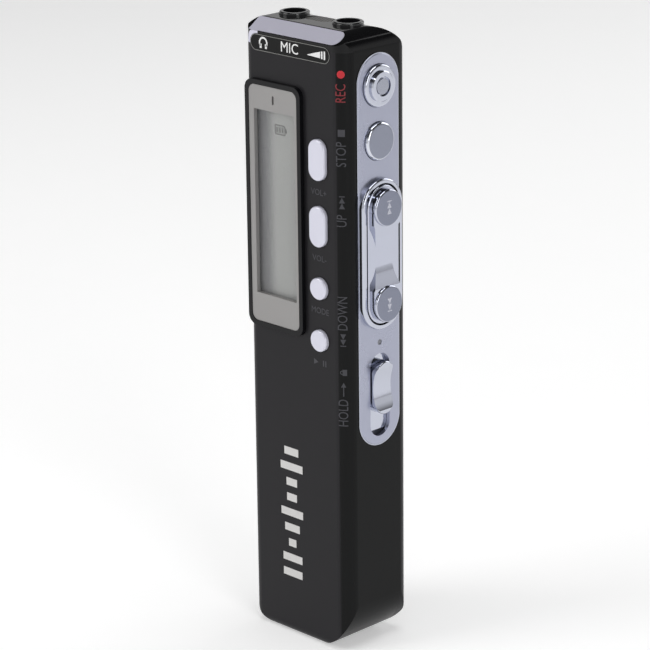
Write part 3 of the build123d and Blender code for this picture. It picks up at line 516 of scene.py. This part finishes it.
# The display cell, with a painted shadow towards its left edge.
CELL_GREY = CellFinish("cell_grey", (0.27, 0.275, 0.262), drift=0.03, low=0.3, high=0.36, depth=0.0)
GUIDE_WHITE = Finish("guide_white", (0.7, 0.7, 0.66), low=0.4, high=0.5)
RUBBER_BLACK = Finish("rubber_black", (0.015, 0.015, 0.015), low=0.6, high=0.75, depth=0.004)
STRIP_SILVER = Finish(
    "strip_silver", (0.40, 0.415, 0.51), drift=0.03, metal=0.85, low=0.26, high=0.33,
    grain=7000, depth=0.0006
)
CHROME = Finish("chrome", (0.55, 0.57, 0.65), drift=0.02, metal=1.0, low=0.07, high=0.12, depth=0.0)
# The flat faces of these chromes are darkened by a painted reflection.
STOP_CHROME = TurnedChrome(
    "stop_chrome", (0.66, 0.68, 0.75), drift=0.02, metal=1.0, low=0.07, high=0.12, depth=0.0
)
# The rocker's disc faces take a still darker painted reflection.
ROCKER_CHROME = TurnedChrome(
    "rocker_chrome", (0.53, 0.55, 0.64), drift=0.02, metal=1.0, low=0.07, high=0.12,
    depth=0.0, face_painted_reflection=(0.24, 0.255, 0.32)
)
DISC_SATIN = Finish(
    "disc_satin", (0.38, 0.395, 0.46), drift=0.03, metal=0.9, low=0.22, high=0.28, grain=9000, depth=0.0004
)
KEY_SILVER = Finish(
    "key_silver",
    (0.66, 0.66, 0.76),
    drift=0.03,
    metal=0.15,
    low=0.2,
    high=0.28,
    depth=0.0,
    coat=0.4,
)
STEEL = Finish(
    "steel", (0.5, 0.5, 0.5), metal=1.0, low=0.25, high=0.38, grain=5000, depth=0.001, lined=True
)
SCREW_STEEL = Finish("screw_steel", (0.12, 0.12, 0.125), metal=1.0, low=0.25, high=0.4, depth=0.001)
GOLD = Finish("contact_gold", (0.75, 0.55, 0.2), metal=1.0, low=0.2, high=0.3, depth=0.0)
BOARD_GREEN = Finish(
    "board_green", (0.012, 0.09, 0.035), drift=0.2, low=0.25, high=0.35, grain=3000, depth=0.003
)
FLEX_AMBER = Finish("flex_amber", (0.32, 0.12, 0.02), low=0.3, high=0.4)
CHIP_BLACK = Finish("chip_black", (0.012, 0.012, 0.013), low=0.45, high=0.55, depth=0.003)
CAPACITOR_TAN = Finish("capacitor_tan", (0.3, 0.2, 0.11), low=0.45, high=0.55)
LENS_RED = Finish("lens_red", (0.35, 0.36, 0.4), low=0.04, high=0.08, depth=0.0, alpha=0.6)
LAMP_RED = Finish("lamp_red", (0.5, 0.03, 0.02), low=0.2, high=0.3)
SOCKET_BLACK = Finish("socket_black", (0.008, 0.008, 0.009), low=0.12, high=0.2, depth=0.0, coat=0.2)
FOAM = Finish("foam", (0.03, 0.03, 0.03), low=0.8, high=0.95, depth=0.02)
CONE = Finish("cone_paper", (0.04, 0.04, 0.042), low=0.6, high=0.7, depth=0.005)
JACKET = Finish("cell_jacket", (0.2, 0.22, 0.26), metal=0.6, low=0.25, high=0.35)
MESH_STEEL = Finish("mesh_steel", (0.1, 0.095, 0.09), metal=0.3, low=0.25, high=0.4)
INKS: dict[Print, Finish] = {
    Print.WHITE: Finish("ink_white", (0.8, 0.8, 0.8), low=0.4, high=0.5, depth=0.0),
    Print.RED: Finish("ink_red", (0.5, 0.01, 0.02), low=0.4, high=0.5, depth=0.0),
    Print.SHADOW: Finish("ink_shadow", (0.034, 0.034, 0.042), low=0.4, high=0.5, depth=0.0),
    Print.PALE: Finish("ink_pale", (0.62, 0.61, 0.6), low=0.4, high=0.5, depth=0.0),
    Print.DARK_RED: Finish("ink_dark_red", (0.2, 0.008, 0.014), low=0.4, high=0.5, depth=0.0),
    Print.ETCHED: Finish("ink_etched", (0.5, 0.51, 0.58), metal=0.6, low=0.2, high=0.3, depth=0.0),
}
OUTLINE_INK = Finish("ink_outline", (0.2, 0.2, 0.19), depth=0.0)
LCD_INK = Finish("lcd_ink", (0.05, 0.05, 0.045), low=0.35, high=0.45, depth=0.0)
FLOOR_PALE = Finish(
    "floor_pale", (0.86, 0.86, 0.86), drift=0.01, low=0.6, high=0.7, depth=0.0, specular=0.1, glow=0.42
)

NODE_FINISHES: dict[str, Finish] = {
    "front_shell": CASE_SATIN,
    "rear_shell": BACK_SATIN,
    "top_cap": CAP_GLOSS,
    "top_trim": BAND_SILVER,
    "port_label_plate": PLATE_GLOSS,
    "display_rim": RIM_GLOSS,
    "display_frame": FRAME_GREY,
    "display_window": WINDOW_CLEAR,
    "display_glass": CELL_GREY,
    "display_backlight": GUIDE_WHITE,
    "display_contact_strip": RUBBER_BLACK,
    "front_key_switches": CHIP_BLACK,
    "key_strip": STRIP_SILVER,
    "rocker_surround": CHROME,
    "rocker_pin": STEEL,
    "track_rocker": ROCKER_CHROME,
    "record_key": CHROME,
    "record_key_insert": DISC_SATIN,
    "stop_key": STOP_CHROME,
    "side_key_flex": FLEX_AMBER,
    "side_key_switches": STEEL,
    "hold_slider": CHROME,
    "hold_lever": CHIP_BLACK,
    "hold_switch_body": STEEL,
    "record_lamp_lens": LENS_RED,
    "record_lamp": LAMP_RED,
    "headphone_socket": SOCKET_BLACK,
    "microphone_socket": SOCKET_BLACK,
    "mic_grille": MESH_STEEL,
    "mic_capsule": STEEL,
    "mic_boot": RUBBER_BLACK,
    "main_board": BOARD_GREEN,
    "controller_chip": CHIP_BLACK,
    "memory_chip": CHIP_BLACK,
    "clock_crystal": STEEL,
    "capacitors": CAPACITOR_TAN,
    "usb_socket": STEEL,
    "usb_contacts": SOCKET_BLACK,
    "speaker": STEEL,
    "speaker_cone": CONE,
    "speaker_gasket": FOAM,
    "battery_cell": JACKET,
    "positive_contact": GOLD,
    "negative_spring": STEEL,
    "battery_door": BACK_SATIN,
    "case_screws": SCREW_STEEL,
    "volume_up_key": KEY_SILVER,
    "volume_down_key": KEY_SILVER,
    "mode_key": KEY_SILVER,
    "play_key": KEY_SILVER,
}


def dress(obj: bpy.types.Object, finish: Finish) -> None:
    """Give an object one finish.

    Args:
        obj: the object to dress.
        finish: the finish it takes.
    """
    obj.data.materials.clear()
    obj.data.materials.append(finish.build())


def dress_frame() -> None:
    """Give every carried-over piece its finish."""
    for name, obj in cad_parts.items():
        finish = NODE_FINISHES[name]
        if isinstance(finish, TurnedChrome):
            finish = replace(finish, face=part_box(name)[1][0] / MM - finish.blend)
        dress(obj, finish)
        LOG.info("dressed %s", name)


# --------------------------------------------------------------------------
# Mesh helpers
# --------------------------------------------------------------------------


def make_object(name: str, mesh: Mesh, finish: Finish) -> bpy.types.Object:
    """Turn a bmesh into a dressed object in the scene.

    Args:
        name: the piece's name.
        mesh: the bmesh, freed here.
        finish: its finish.

    Returns:
        The new object, at the origin.
    """
    bmesh.ops.recalc_face_normals(mesh, faces=mesh.faces)
    data = bpy.data.meshes.new(name)
    mesh.to_mesh(data)
    mesh.free()
    for polygon in data.polygons:
        polygon.use_smooth = False
    obj = bpy.data.objects.new(name, data)
    bpy.context.scene.collection.objects.link(obj)
    dress(obj, finish)
    LOG.info("made %s", name)
    return obj


def middle(node: str) -> Vector:
    """The centre of a frame piece's box."""
    low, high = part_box(node)
    return (Vector(low) + Vector(high)) / 2


def facing_front(x: float, y: float, z: float) -> Matrix:
    """A place on the display face: local X to +X, local Y to +Z, out to -Y."""
    axes = Matrix(((1, 0, 0, 0), (0, 0, -1, 0), (0, 1, 0, 0), (0, 0, 0, 1)))
    return Matrix.Translation((x, y, z)) @ axes


def facing_side(x: float, y: float, z: float) -> Matrix:
    """A place on the key face: local X to +Y, local Y to +Z, out to +X."""
    axes = Matrix(((0, 0, 1, 0), (1, 0, 0, 0), (0, 1, 0, 0), (0, 0, 0, 1)))
    return Matrix.Translation((x, y, z)) @ axes


def raise_faces(mesh: Mesh, thick: float) -> None:
    """Raise every face of a flat mesh into a plate, along local Z.

    Args:
        mesh: the flat mesh.
        thick: thickness in millimetres.
    """
    grown = bmesh.ops.extrude_face_region(mesh, geom=list(mesh.faces))
    tops = [v for v in grown["geom"] if isinstance(v, bmesh.types.BMVert)]
    bmesh.ops.translate(mesh, verts=tops, vec=(0, 0, thick * MM))


def flat_shape(points: Points, thick: float) -> Mesh:
    """A thin plate from a closed outline in millimetres.

    Args:
        points: corners of the outline, in order.
        thick: thickness in millimetres, along local Z.

    Returns:
        The plate as a bmesh, its back on local Z = 0.
    """
    mesh = bmesh.new()
    mesh.faces.new([mesh.verts.new((x * MM, y * MM, 0)) for x, y in points])
    raise_faces(mesh, thick)
    return mesh


def disc_shape(radius: float, thick: float, segments: int = 32) -> Mesh:
    """A thin disc in millimetres.

    Args:
        radius: its radius.
        thick: its thickness, along local Z.
        segments: how many sides it has.

    Returns:
        The disc as a bmesh, its back on local Z = 0.
    """
    mesh = bmesh.new()
    bmesh.ops.create_cone(
        mesh,
        cap_ends=True,
        segments=segments,
        radius1=radius * MM,
        radius2=radius * MM,
        depth=thick * MM,
    )
    bmesh.ops.translate(mesh, verts=mesh.verts, vec=(0, 0, thick * MM / 2))
    return mesh


def ring_shape(
    inner: float, outer: float, thick: float, straight: float = 0.0, turn: float = 0.0
) -> Mesh:
    """A flat ring, drawn out into a stadium along local Y where straight is given.

    Args:
        inner: inner radius in millimetres.
        outer: outer radius in millimetres.
        thick: thickness in millimetres.
        straight: length of the straight sides in millimetres.
        turn: angle in degrees the ring is turned about local Z.

    Returns:
        The ring as a bmesh, its back on local Z = 0.
    """
    mesh = bmesh.new()
    bmesh.ops.create_circle(mesh, cap_ends=True, segments=64, radius=outer * MM)
    bmesh.ops.inset_region(
        mesh,
        faces=list(mesh.faces),
        thickness=(outer - inner) * MM,
        use_boundary=True,
        use_even_offset=True,
    )
    heart = min(mesh.faces, key=lambda f: f.calc_center_median().length - 100 * len(f.verts))
    bmesh.ops.delete(mesh, geom=[heart], context="FACES")
    for vert in mesh.verts:
        if abs(vert.co.y) > 1e-9:
            vert.co.y += math.copysign(straight / 2 * MM, vert.co.y)
    raise_faces(mesh, thick)
    bmesh.ops.rotate(mesh, verts=mesh.verts, matrix=Matrix.Rotation(math.radians(turn), 3, "Z"))
    return mesh


def word_shape(words: str, tall: float, thick: float, squeeze: float = 1.0) -> Mesh:
    """Raised words in millimetres, centred on the local origin.

    Args:
        words: the words.
        tall: the height of a capital letter.
        thick: how far the ink stands up.
        squeeze: how much of their natural width the words keep.

    Returns:
        The words as a bmesh, their back on local Z = 0.
    """
    curve = bpy.data.curves.new("words", "FONT")
    curve.body = words
    curve.size = tall * MM / CAPITAL_SHARE
    curve.resolution_u = 3
    curve.align_x = "CENTER"
    curve.align_y = "CENTER"
    holder = bpy.data.objects.new("words", curve)
    bpy.context.scene.collection.objects.link(holder)
    bpy.context.view_layer.update()
    data = bpy.data.meshes.new_from_object(holder)
    bpy.data.objects.remove(holder)
    bpy.data.curves.remove(curve)
    mesh = bmesh.new()
    mesh.from_mesh(data)
    bpy.data.meshes.remove(data)
    bmesh.ops.remove_doubles(mesh, verts=mesh.verts, dist=1e-7)
    bmesh.ops.scale(mesh, verts=mesh.verts, vec=(squeeze, 1.0, 1.0))
    raise_faces(mesh, thick)
    return mesh


def join(parts: list[Mesh]) -> Mesh:
    """Put several bmeshes into one, freeing the others.

    Args:
        parts: the bmeshes.

    Returns:
        The first of them, with all the rest in it.
    """
    whole = parts[0]
    for part in parts[1:]:
        data = bpy.data.meshes.new("part")
        part.to_mesh(data)
        part.free()
        whole.from_mesh(data)
        bpy.data.meshes.remove(data)
    return whole


def moved(mesh: Mesh, x: float, y: float) -> Mesh:
    """Shift a flat shape in its own plane, in millimetres."""
    bmesh.ops.translate(mesh, verts=mesh.verts, vec=(x * MM, y * MM, 0))
    return mesh


# --------------------------------------------------------------------------
# Signs, as flat outlines in millimetres
# --------------------------------------------------------------------------


def triangle(size: float, pointing: int = 1) -> Points:
    """A play triangle pointing along local X, or against it."""
    half = size / 2
    return [(-half * pointing, -half), (half * pointing, 0), (-half * pointing, half)]


def bar(wide: float, tall: float) -> Points:
    """A rectangle about the origin."""
    return [(-wide / 2, -tall / 2), (wide / 2, -tall / 2), (wide / 2, tall / 2), (-wide / 2, tall / 2)]


def skip_sign(size: float, thick: float, pointing: int) -> Mesh:
    """Two triangles and an end bar, as for a skip key.

    Args:
        size: the height of the sign in millimetres.
        thick: its thickness in millimetres.
        pointing: 1 to point along local X, -1 to point against it.

    Returns:
        The sign as a bmesh.
    """
    parts = [
        moved(flat_shape(triangle(size, pointing), thick), -size * 0.5 * pointing, 0),
        moved(flat_shape(triangle(size, pointing), thick), size * 0.5 * pointing, 0),
        moved(flat_shape(bar(size * 0.18, size), thick), size * 1.15 * pointing, 0),
    ]
    return join(parts)


def lock_sign(size: float, thick: float) -> Mesh:
    """A small padlock.

    Args:
        size: the width of its body in millimetres.
        thick: its thickness in millimetres.

    Returns:
        The padlock as a bmesh.
    """
    body = moved(flat_shape(bar(size, size * 0.7), thick), 0, -size * 0.2)
    bow = moved(ring_shape(size * 0.2, size * 0.34, thick), 0, size * 0.2)
    return join([body, bow])


@dataclass
class CornerPrint:
    """Words and signs that run up the rounded corner beside the key strip."""

    name: str
    height_z: float
    ink: Print
    words: str = ""
    words_at: float = 0.0
    tall: float = 1.6
    squeeze: float = 0.72
    signs: list = field(default_factory=list)
    thick: float = 0.02
    corner: float = 2.3
    angle: float = 35.0
    cuts: int = 6
    cut_step: float = 0.2

    def build(self) -> bpy.types.Object:
        """Make the print, bend it round the corner and ride it on the case.

        Returns:
            The print.
        """
        parts = []
        if self.words:
            words = word_shape(self.words, self.tall, self.thick, self.squeeze)
            parts.append(moved(words, self.words_at, 0))
        parts.extend(self.signs)
        mesh = join(parts)
        self._bend(mesh)
        piece = make_object(self.name, mesh, INKS[self.ink])
        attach(piece, CASE)
        return piece

    def _bend(self, mesh: Mesh) -> None:
        """Wrap the flat print round the corner's arc.

        Args:
            mesh: the print, its words along local X and its tops along local Y.
        """
        for step in range(-self.cuts, self.cuts + 1):
            cut = step * self.cut_step * MM
            geom = list(mesh.verts) + list(mesh.edges) + list(mesh.faces)
            bmesh.ops.bisect_plane(mesh, geom=geom, plane_co=(0, cut, 0), plane_no=(0, 1, 0))
        low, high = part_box("front_shell")
        radius = self.corner * MM
        centre_x = high[0] - radius
        centre_y = low[1] + radius
        for vert in mesh.verts:
            lift = radius + vert.co.z - PRINT_SINK * MM
            turn = math.radians(self.angle) - vert.co.y / radius
            along = self.height_z * MM + vert.co.x
            vert.co = Vector((centre_x + lift * math.sin(turn), centre_y - lift * math.cos(turn), along))


@dataclass
class FrontPrint:
    """Small signs under the front keys, and the level bars low on the face."""

    thick: float = 0.02
    tall: float = 0.95
    key_gap: float = 1.9
    flange: float = 0.5
    bars: int = 9
    bars_low: float = 10.5
    bars_x: float = -1.6
    bar_step: float = 2.6
    bar_tall: float = 1.3
    bar_least: float = 1.6
    bar_swing: float = 3.4

    def build(self) -> None:
        """Print every sign on the front."""
        low, _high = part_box("front_shell")
        face = low[1] + PRINT_SINK * MM
        rows = (
            ("volume_up_key", word_shape("VOL+", self.tall, self.thick)),
            ("volume_down_key", word_shape("VOL-", self.tall, self.thick)),
            ("mode_key", word_shape("MODE", self.tall, self.thick)),
            ("play_key", self._play_sign()),
        )
        for node, mesh in rows:
            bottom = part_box(node)[0][2] + self.flange * MM
            mesh.transform(facing_front(middle(node).x, face, bottom - self.key_gap * MM))
            piece = make_object(f"{node}_sign", mesh, INKS[Print.SHADOW])
            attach(piece, CASE)
        self._level_bars(face)

    def _play_sign(self) -> Mesh:
        """A play triangle and two pause bars.

        Returns:
            The sign as a bmesh.
        """
        parts = [moved(flat_shape(triangle(self.tall), self.thick), -1.0, 0)]
        for x in (0.6, 1.1):
            parts.append(moved(flat_shape(bar(0.22, self.tall), self.thick), x, 0))
        return join(parts)

    def _level_bars(self, face: float) -> None:
        """A plain pattern of sound level bars up the lower face.

        Args:
            face: where along Y the print's back lies, in metres.
        """
        parts = []
        for index in range(self.bars):
            wave = 0.5 + 0.5 * math.sin(index * 1.9 + 0.6)
            wide = self.bar_least + self.bar_swing * wave
            shape = flat_shape(bar(wide, self.bar_tall), self.thick)
            parts.append(moved(shape, 0, index * self.bar_step))
        mesh = join(parts)
        mesh.transform(facing_front(self.bars_x * MM, face, self.bars_low * MM))
        piece = make_object("level_bars_print", mesh, INKS[Print.PALE])
        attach(piece, CASE)


@dataclass
class PlatePrint:
    """The white signs and the fine outline on the plate under the band."""

    thick: float = 0.02
    tall: float = 1.6

    def build(self) -> None:
        """Print the headphone sign, the word and the microphone sign."""
        low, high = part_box("port_label_plate")
        face = low[1] + PRINT_SINK * MM
        mid_z = (low[2] + high[2]) / 2
        parts = [
            self._headphone_sign(),
            moved(word_shape("MIC", self.tall, self.thick), -0.6, 0),
            self._microphone_sign(),
        ]
        mesh = join(parts)
        mesh.transform(facing_front(0, face, mid_z))
        piece = make_object("port_signs", mesh, INKS[Print.WHITE])
        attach(piece, CASE)
        self._outline(low, high, face)

    def _headphone_sign(self) -> Mesh:
        """A headband and two ear pads.

        Returns:
            The sign as a bmesh.
        """
        band = ring_shape(0.66, 0.94, self.thick)
        geom = list(band.verts) + list(band.edges) + list(band.faces)
        bmesh.ops.bisect_plane(
            band, geom=geom, plane_co=(0, -0.5 * MM, 0), plane_no=(0, -1, 0), clear_outer=True
        )
        pads = [moved(flat_shape(bar(0.42, 0.7), self.thick), x, -0.5) for x in (-0.58, 0.58)]
        return moved(join([band, *pads]), -6.3, 0.05)

    def _microphone_sign(self) -> Mesh:
        """A tapering microphone with its cap.

        Returns:
            The sign as a bmesh.
        """
        stem = flat_shape([(-2.2, -0.4), (0.5, -0.5), (0.5, 0.5), (-2.2, -0.3)], self.thick)
        cap = moved(flat_shape(bar(0.3, 1.15), self.thick), 0.85, 0)
        tip = moved(flat_shape(bar(0.3, 1.3), self.thick), 1.4, 0)
        return moved(join([stem, cap, tip]), 5.5, 0)

    def _outline(self, low: tuple, high: tuple, face: float) -> None:
        """A fine light line round the plate.

        Args:
            low: the least corner of the plate's box, in metres.
            high: the greatest corner of the plate's box, in metres.
            face: where along Y the line's back lies, in metres.
        """
        half = (high[2] - low[2]) / 2 / MM
        straight = (high[0] - low[0]) / MM - 2 * half
        mesh = ring_shape(half - 0.12, half - 0.03, self.thick, straight=straight, turn=90)
        centre_x = (low[0] + high[0]) / 2
        mesh.transform(facing_front(centre_x, face, (low[2] + high[2]) / 2))
        piece = make_object("plate_outline", mesh, OUTLINE_INK)
        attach(piece, CASE)


@dataclass
class DisplayWindow:
    """The clear window, standing just clear of the display cell."""

    clearance: float = 0.05
    edge: float = 0.05

    def build(self) -> None:
        """Make the window and let it stand for the frame's own."""
        low, high = (Vector(corner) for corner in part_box("display_window"))
        high.y -= self.clearance * MM
        mesh = bmesh.new()
        bmesh.ops.create_cube(mesh, size=1.0)
        bmesh.ops.scale(mesh, verts=mesh.verts, vec=high - low)
        bmesh.ops.translate(mesh, verts=mesh.verts, vec=(low + high) / 2)
        bmesh.ops.bevel(
            mesh,
            geom=list(mesh.edges),
            offset=self.edge * MM,
            affect="EDGES",
            segments=2,
            profile=0.5,
            material=-1,
        )
        piece = make_object("clear_window", mesh, WINDOW_CLEAR)
        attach(piece, CASE)
        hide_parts("display_window")


@dataclass
class DisplayMarks:
    """The battery sign on the display."""

    thick: float = 0.015
    wide: float = 2.1
    tall: float = 1.4
    line: float = 0.22
    from_top: float = 3.4
    from_right: float = 4.7
    sink: float = 0.005

    def build(self) -> None:
        """Draw the battery sign on the display cell."""
        low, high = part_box("display_glass")
        across = bar(self.wide, self.line)
        upright = bar(self.line, self.tall)
        knob = bar(self.line * 2, self.tall * 0.5)
        parts = [
            moved(flat_shape(across, self.thick), 0, self.tall / 2),
            moved(flat_shape(across, self.thick), 0, -self.tall / 2),
            moved(flat_shape(upright, self.thick), -self.wide / 2, 0),
            moved(flat_shape(upright, self.thick), self.wide / 2, 0),
            moved(flat_shape(knob, self.thick), self.wide / 2 + 0.2, 0),
        ]
        level = bar(0.36, self.tall * 0.6)
        for index in range(3):
            parts.append(moved(flat_shape(level, self.thick), -0.62 + index * 0.6, 0))
        mesh = join(parts)
        x = high[0] - self.from_right * MM
        z = high[2] - self.from_top * MM
        mesh.transform(facing_front(x, low[1] + self.sink * MM, z))
        piece = make_object("battery_sign", mesh, LCD_INK)
        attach(piece, CASE)


@dataclass
class HoldSlotFloor:
    """The plain metal floor that shows through the slot under the hold knob."""

    drop: float = 0.08
    thick: float = 0.15
    half: float = 2.6
    low: float = 33.2
    high: float = 38.8

    def build(self) -> None:
        """Lay the floor just behind the knob's skirt."""
        low_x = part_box("hold_lever")[1][0] / MM - self.drop - self.thick
        middle_y = middle("hold_slider").y
        mesh = flat_shape(bar(2 * self.half, self.high - self.low), self.thick)
        mesh.transform(facing_side(low_x * MM, middle_y, (self.low + self.high) / 2 * MM))
        piece = make_object("hold_slot_floor", mesh, STRIP_SILVER)
        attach(piece, CASE)


@dataclass
class StripRim:
    """The fine bright line where the key strip's edge meets the case."""

    wide: float = 0.12
    thick: float = 0.12
    lift: float = 0.01

    def build(self) -> None:
        """Lay the line round the whole strip."""
        low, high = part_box("key_strip")
        half = (high[1] - low[1]) / 2 / MM
        straight = (high[2] - low[2]) / MM - 2 * half
        mesh = ring_shape(half, half + self.wide, self.thick, straight=straight)
        centre = middle("key_strip")
        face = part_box("front_shell")[1][0] + self.lift * MM
        mesh.transform(facing_side(face, centre.y, centre.z))
        piece = make_object("strip_rim", mesh, CHROME)
        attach(piece, CASE)


@dataclass
class RockerMarks:
    """The skip signs on the two discs of the track rocker."""

    size: float = 0.95
    thick: float = 0.02
    offset: float = 7.65
    sink: float = 0.012

    def build(self) -> None:
        """Mark each disc."""
        low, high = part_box("track_rocker")
        centre = (Vector(low) + Vector(high)) / 2
        for side in Side:
            mesh = skip_sign(self.size, self.thick, side.value)
            upright = Matrix.Rotation(math.radians(90), 3, "Z")
            bmesh.ops.rotate(mesh, verts=mesh.verts, matrix=upright)
            z = centre.z + side.value * self.offset * MM
            mesh.transform(facing_side(high[0] - self.sink * MM, centre.y, z))
            piece = make_object(f"skip_sign_{side.name.lower()}", mesh, INKS[Print.ETCHED])
            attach(piece, "rocker")


@dataclass
class CornerLabels:
    """All the words that run up the corner beside the keys."""

    thick: float = 0.02

    def build(self) -> None:
        """Print each label level with its own key."""
        thick = self.thick
        record = middle("record_key").z / MM
        stop = middle("stop_key").z / MM
        rocker = middle("track_rocker").z / MM
        hold = middle("hold_slider").z / MM
        dot = moved(disc_shape(0.6, thick), 2.6, 0)
        CornerPrint("record_dot", record, Print.RED, signs=[dot]).build()
        CornerPrint("record_print", record - 0.3, Print.DARK_RED, "REC", 0.0).build()
        square = moved(flat_shape(bar(1.1, 1.1), thick), 3.1, 0)
        CornerPrint("stop_print", stop - 0.9, Print.SHADOW, "STOP", -0.2, signs=[square]).build()
        ahead = moved(skip_sign(0.9, thick, 1), 2.2, 0)
        CornerPrint("up_print", rocker + 6.9, Print.SHADOW, "UP", -0.6, signs=[ahead]).build()
        back = moved(skip_sign(0.9, thick, -1), -3.2, 0)
        CornerPrint("down_print", rocker - 9.4, Print.SHADOW, "DOWN", 1.0, signs=[back]).build()
        hold_signs = [
            moved(flat_shape(bar(1.6, 0.16), thick), 2.9, 0),
            moved(flat_shape(triangle(0.8), thick), 4.0, 0),
            moved(lock_sign(1.0, thick), 6.0, 0),
        ]
        CornerPrint("hold_print", hold - 1.4, Print.SHADOW, "HOLD", -0.6, signs=hold_signs).build()


# --------------------------------------------------------------------------
# Studio
# --------------------------------------------------------------------------


@dataclass(frozen=True)
class Lamp:
    """One area light that faces the recorder.

    Attributes:
        name: the light's name.
        place: its position in metres.
        size: its width and height in metres.
        power: its power in watts.
    """

    name: str
    place: tuple[float, float, float]
    size: tuple[float, float]
    power: float


LAMPS = (
    Lamp("key_light", (-0.35, -0.55, 0.45), (0.4, 0.5), 2.1),
    Lamp("side_light", (0.7, -0.25, 0.35), (0.25, 0.6), 1.5),
    Lamp("top_light", (0.05, 0.0, 0.8), (0.5, 0.5), 2.3),
    Lamp("back_light", (0.1, 0.7, 0.4), (0.6, 0.4), 1.5),
)


@dataclass
class Studio:
    """Floor, soft lights and camera, in metres and degrees; the lens is in millimetres."""

    azimuth: float = 45.24
    elevation: float = 17.91
    roll: float = -0.67
    distance: float = 0.4452
    lens: float = 156.4
    sensor: float = 36.0
    clip_start: float = 0.01
    across: float = -0.00047
    rise: float = 0.00105
    aim_z: float = 0.05
    floor_size: float = 4.0
    low_sky: float = 0.75
    high_sky: float = 0.05
    fall_start: float = 0.12
    fall_end: float = 0.45

    def build(self) -> None:
        """Set the whole studio."""
        self._floor()
        self._world()
        for lamp in LAMPS:
            self._light(lamp)
        self._camera()

    def _floor(self) -> None:
        """A plain pale floor."""
        mesh = bmesh.new()
        bmesh.ops.create_grid(mesh, x_segments=1, y_segments=1, size=self.floor_size / 2)
        floor = make_object("floor", mesh, FLOOR_PALE)

    def _world(self) -> None:
        """A white surround, bright low down and dim overhead."""
        world = bpy.data.worlds.new("surround")
        world.use_nodes = True
        tree = world.node_tree
        place = tree.nodes.new("ShaderNodeTexCoord")
        split = tree.nodes.new("ShaderNodeSeparateXYZ")
        fall = tree.nodes.new("ShaderNodeMapRange")
        fall.interpolation_type = "SMOOTHSTEP"
        fall.inputs["From Min"].default_value = self.fall_start
        fall.inputs["From Max"].default_value = self.fall_end
        fall.inputs["To Min"].default_value = self.low_sky
        fall.inputs["To Max"].default_value = self.high_sky
        tree.links.new(place.outputs["Generated"], split.inputs["Vector"])
        tree.links.new(split.outputs["Z"], fall.inputs["Value"])
        tree.links.new(fall.outputs["Result"], tree.nodes["Background"].inputs["Strength"])
        tree.nodes["Background"].inputs["Color"].default_value = (1.0, 1.0, 1.0, 1.0)
        bpy.context.scene.world = world
        bpy.context.scene.view_settings.view_transform = "Standard"

    def _light(self, lamp: Lamp) -> None:
        """Hang one lamp and turn it to the recorder.

        Args:
            lamp: the lamp.
        """
        data = bpy.data.lights.new(lamp.name, "AREA")
        data.shape = "RECTANGLE"
        data.size, data.size_y = lamp.size
        data.energy = lamp.power
        light = bpy.data.objects.new(lamp.name, data)
        light.location = lamp.place
        aim = Vector((0, 0, self.aim_z)) - Vector(lamp.place)
        light.rotation_euler = aim.to_track_quat("-Z", "Y").to_euler()
        bpy.context.scene.collection.objects.link(light)

    def _camera(self) -> None:
        """The camera at the angle the recorder is seen from."""
        turn, lean, roll = (math.radians(v) for v in (self.azimuth, self.elevation, self.roll))
        level = math.cos(lean)
        back = Vector((math.sin(turn) * level, -math.cos(turn) * level, math.sin(lean)))
        right = Vector((math.cos(turn), math.sin(turn), 0))
        up = back.cross(right)
        right_rolled = right * math.cos(roll) + up * math.sin(roll)
        up_rolled = up * math.cos(roll) - right * math.sin(roll)
        place = Vector((0, 0, self.aim_z)) + right_rolled * self.across
        place = place + up_rolled * self.rise + back * self.distance
        data = bpy.data.cameras.new("camera")
        data.lens = self.lens
        data.sensor_width = self.sensor
        data.clip_start = self.clip_start
        camera = bpy.data.objects.new("camera", data)
        axes = Matrix((right_rolled, up_rolled, back)).transposed().to_4x4()
        camera.matrix_world = Matrix.Translation(place) @ axes
        bpy.context.scene.collection.objects.link(camera)
        bpy.context.scene.camera = camera


def main() -> None:
    """Build every piece in order."""
    logging.basicConfig(level=logging.INFO, format="%(message)s")
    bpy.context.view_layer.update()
    dress_frame()
    CornerLabels().build()
    FrontPrint().build()
    PlatePrint().build()
    DisplayWindow().build()
    DisplayMarks().build()
    StripRim().build()
    HoldSlotFloor().build()
    RockerMarks().build()
    Studio().build()


if __name__ == "__main__":
    main()
